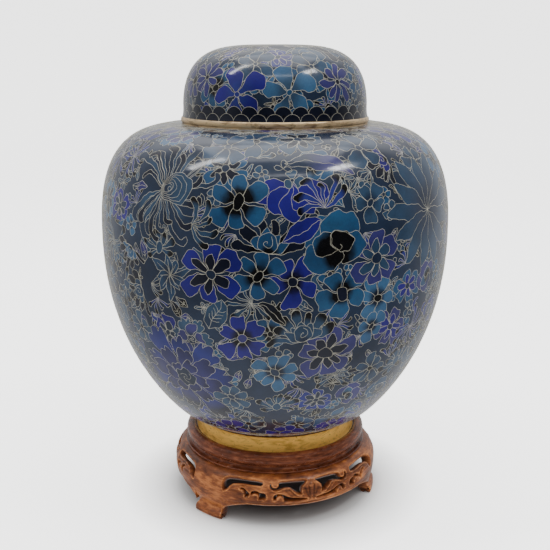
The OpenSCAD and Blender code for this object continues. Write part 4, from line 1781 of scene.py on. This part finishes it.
KEPT_PARTS: dict[str, str] = {
    "leg_pegs": "turned_wood", "jar_base": "dark_copper", "base_enamel": "plain_enamel",
    "jar_shell": "dark_copper", "jar_lining": "plain_enamel", "neck_collar": "dull_brass",
    "shoulder_ring": "rim_brass", "mouth_rim": "dull_brass", "lid_shell": "dark_copper",
    "lid_lining": "plain_enamel"
}


@dataclass
class Studio:
    """Pale seamless surroundings, soft light and the camera. Lengths are in metres."""

    camera_at: tuple[float, float, float] = (0.0, -0.4591, 0.2317)
    camera_pitch: float = 13.98
    lens: float = 58.33
    floor_r: float = 1.6
    bend_r: float = 0.7
    bend_steps: int = 8
    wall_h: float = 2.0
    pale: Colour = (0.92, 0.92, 0.915)
    # painted shadow: dark colour of the floor under the stand
    under: Colour = (0.12, 0.11, 0.11)
    dark_side: tuple[float, float, float] = (0.34, -0.94, 0.0)
    side_glow: float = 0.27
    back_glow: float = 0.45
    ceiling_glow: float = 1.4
    table_glow: float = 0.3
    paper_glow: float = 2.3
    mat_r: float = 0.45
    # painted shadow under the stand: the floor's colour darkens inside the first range, and its glow fades
    # inside the second
    painted_shadow_r: tuple[float, float] = (0.034, 0.06)
    painted_shadow_glow_r: tuple[float, float] = (0.052, 0.085)
    from_above: float = 1.1
    from_below: float = 0.7

    def build(self) -> None:
        """Makes the floor, the lights, the surroundings and the camera."""
        self.floor()
        self.surroundings()
        for name, place, size, power, aim in (
                ("left_tube", (-0.66, -0.22, 1.16), (0.09, 0.5), 2.6, (0, 0, 0.18)),
                ("front_tube", (0.11, -0.78, 1.08), (0.6, 0.05), 0.6, (0, 0, 0.18)),
                ("right_tube", (0.65, -0.36, 1.1), (0.3, 0.11), 2.8, (0, 0, 0.18)),
                ("top_softbox", (0.0, 0.05, 1.1), (0.9, 0.7), 5.0, (0, 0, 0.1))):
            self.softbox(name, place, size, power, aim)
        data = bpy.data.cameras.new("camera")
        data.lens = self.lens
        camera = bpy.data.objects.new("camera", data)
        camera.location = self.camera_at
        camera.rotation_euler = (math.radians(90 - self.camera_pitch), 0, 0)
        bpy.context.scene.collection.objects.link(camera)
        bpy.context.scene.camera = camera

    def softbox(self, name: str, place: tuple[float, float, float], size: tuple[float, float],
                power: float, aim: tuple[float, float, float]) -> None:
        """Adds one soft light.

        Args:
            name: its name.
            place: where it stands.
            size: its width and height.
            power: in watts.
            aim: the point it faces.
        """
        data = bpy.data.lights.new(name, "AREA")
        data.shape = "RECTANGLE"
        data.size, data.size_y = size
        data.energy = power
        light = bpy.data.objects.new(name, data)
        light.location = place
        light.rotation_euler = (Vector(aim) - Vector(place)).to_track_quat("-Z", "Y").to_euler()
        bpy.context.scene.collection.objects.link(light)

    def disc(self, name: str, radius: float, height: float) -> bpy.types.Object:
        """Adds a flat disc round the axis.

        Args:
            name: its name.
            radius: in metres.
            height: over the table.

        Returns:
            The new object.
        """
        deselect()
        bpy.ops.mesh.primitive_circle_add(vertices=96, radius=radius, fill_type="NGON",
                                          location=(0, 0, height))
        bpy.context.object.name = name
        return bpy.context.object

    def floor(self) -> None:
        """A pale floor that curves up into walls all round, and that only the camera sees, with a painted
        shadow near the stand: there its colour darkens and its glow fades out.
        """
        floor = self.disc("studio_floor", self.floor_r, -MM)
        bpy.ops.object.mode_set(mode="EDIT")
        bpy.ops.mesh.select_all(action="DESELECT")
        bpy.ops.object.mode_set(mode="OBJECT")
        for edge in floor.data.edges:
            edge.select = True
        bpy.ops.object.mode_set(mode="EDIT")
        for k in range(self.bend_steps):
            bend = math.pi / 2 * (k + 0.5) / self.bend_steps
            step = self.bend_r * math.pi / 2 / self.bend_steps
            grow = 1 + step * math.cos(bend) / (self.floor_r + self.bend_r * math.sin(bend))
            bpy.ops.mesh.extrude_edges_move(TRANSFORM_OT_translate={"value": (0, 0, step * math.sin(bend))})
            bpy.ops.transform.resize(value=(grow, grow, 1), center_override=(0, 0, 0))
        bpy.ops.mesh.extrude_edges_move(TRANSFORM_OT_translate={"value": (0, 0, self.wall_h)})
        bpy.ops.object.mode_set(mode="OBJECT")
        bpy.ops.object.shade_smooth()
        material, graph, shader = new_material("studio_paper_with_painted_shadow")
        away = graph.add("ShaderNodeVectorMath", {0: graph.place()}, {"operation": "LENGTH"}).outputs["Value"]
        # painted shadow: the floor turns dark near the stand
        colour = graph.mix(graph.remap(away, *self.painted_shadow_r), rgba(self.under), rgba(self.pale))
        graph.tree.links.new(colour, shader.inputs["Base Color"])
        shader.inputs["Roughness"].default_value = 0.9
        shader.inputs["Specular IOR Level"].default_value = 0.1
        shader.inputs["Emission Color"].default_value = rgba(self.pale)
        # painted shadow: the floor's glow fades out near the stand
        glow_with_painted_shadow = graph.math("MULTIPLY", graph.remap(away, *self.painted_shadow_glow_r, 0.0, self.paper_glow),
                          graph.add("ShaderNodeLightPath").outputs["Is Camera Ray"])
        graph.tree.links.new(glow_with_painted_shadow, shader.inputs["Emission Strength"])
        floor.data.materials.append(material)
        floor.visible_glossy = False
        floor.visible_diffuse = False
        floor.visible_shadow = False
        mat = self.disc("studio_mat", self.mat_r, 0.0)
        mat.data.materials.append(material)
        mat.visible_glossy = False
        mat.visible_shadow = False

    def surroundings(self) -> None:
        """Even white light from all round, with a dark stretch in front."""
        world = bpy.data.worlds.new("surroundings")
        bpy.context.scene.world = world
        world.use_nodes = True
        graph = Graph(world.node_tree)
        heading = graph.add("ShaderNodeTexCoord").outputs["Generated"]
        up = graph.add("ShaderNodeSeparateXYZ", {"Vector": heading}).outputs["Z"]
        towards = graph.add("ShaderNodeVectorMath", {0: heading, 1: self.dark_side},
                            {"operation": "DOT_PRODUCT"}).outputs["Value"]
        behind = graph.add("ShaderNodeVectorMath", {0: heading, 1: (0.0, 1.0, 0.0)},
                           {"operation": "DOT_PRODUCT"}).outputs["Value"]
        level = graph.math("ABSOLUTE", graph.math("SUBTRACT", up, 0.02))
        front = graph.math("MULTIPLY", graph.remap(towards, 0.12, 0.6),
                           graph.remap(level, 0.4, 0.75, 1.0, 0.0))
        mirrored = graph.math("ADD", self.side_glow, graph.math(
            "MULTIPLY", graph.remap(behind, 0.1, 0.85), self.back_glow))
        ceiling = graph.math("MULTIPLY", graph.remap(up, 0.45, 0.75), graph.remap(behind, 0.3, 0.6))
        mirrored = graph.math("ADD", mirrored, graph.math("MULTIPLY", ceiling, self.ceiling_glow))
        mirrored = graph.math("ADD", mirrored, graph.math(
            "MULTIPLY", graph.remap(up, -0.45, -0.9), self.table_glow))
        mirrored = graph.math("MULTIPLY", mirrored, graph.math("SUBTRACT", 1.0, graph.math(
            "MULTIPLY", front, 0.95)))
        even = graph.remap(up, -0.15, 0.15, self.from_below, self.from_above)
        seen = graph.add("ShaderNodeLightPath").outputs["Is Glossy Ray"]
        strength = graph.math("ADD", graph.math("MULTIPLY", seen, mirrored), graph.math(
            "MULTIPLY", graph.math("SUBTRACT", 1.0, seen), even))
        background = world.node_tree.nodes["Background"]
        background.inputs["Color"].default_value = rgba((1.0, 1.0, 1.0))
        graph.tree.links.new(strength, background.inputs["Strength"])


def main() -> None:
    """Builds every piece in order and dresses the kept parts."""
    logging.basicConfig(level=logging.INFO, format="%(message)s")
    effects = SharedEffects()
    finishes = {finish.name: finish.build(effects) for finish in (
        GILT_WIRE, DULL_BRASS, RIM_BRASS, DARK_COPPER, CELL_ENAMEL, PLAIN_ENAMEL, TURNED_WOOD, CARVED_WOOD_WITH_PAINTED_SHADE)}
    Studio().build()
    for node, finish in KEPT_PARTS.items():
        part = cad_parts[node]
        part.data.materials.clear()
        part.data.materials.append(finishes[finish])
    Stand().build(finishes)
    Metalwork().build(finishes)
    enamelling = Enamelling()
    jar, lid = JarDesign(), LidDesign()
    enamelling.apply("jar", "jar", jar.pattern(jar.surface()), ("lower", "middle", "upper"), finishes)
    enamelling.apply("lid", "lid", lid.pattern(lid.surface()), ("whole",), finishes)


if __name__ == "__main__":
    main()
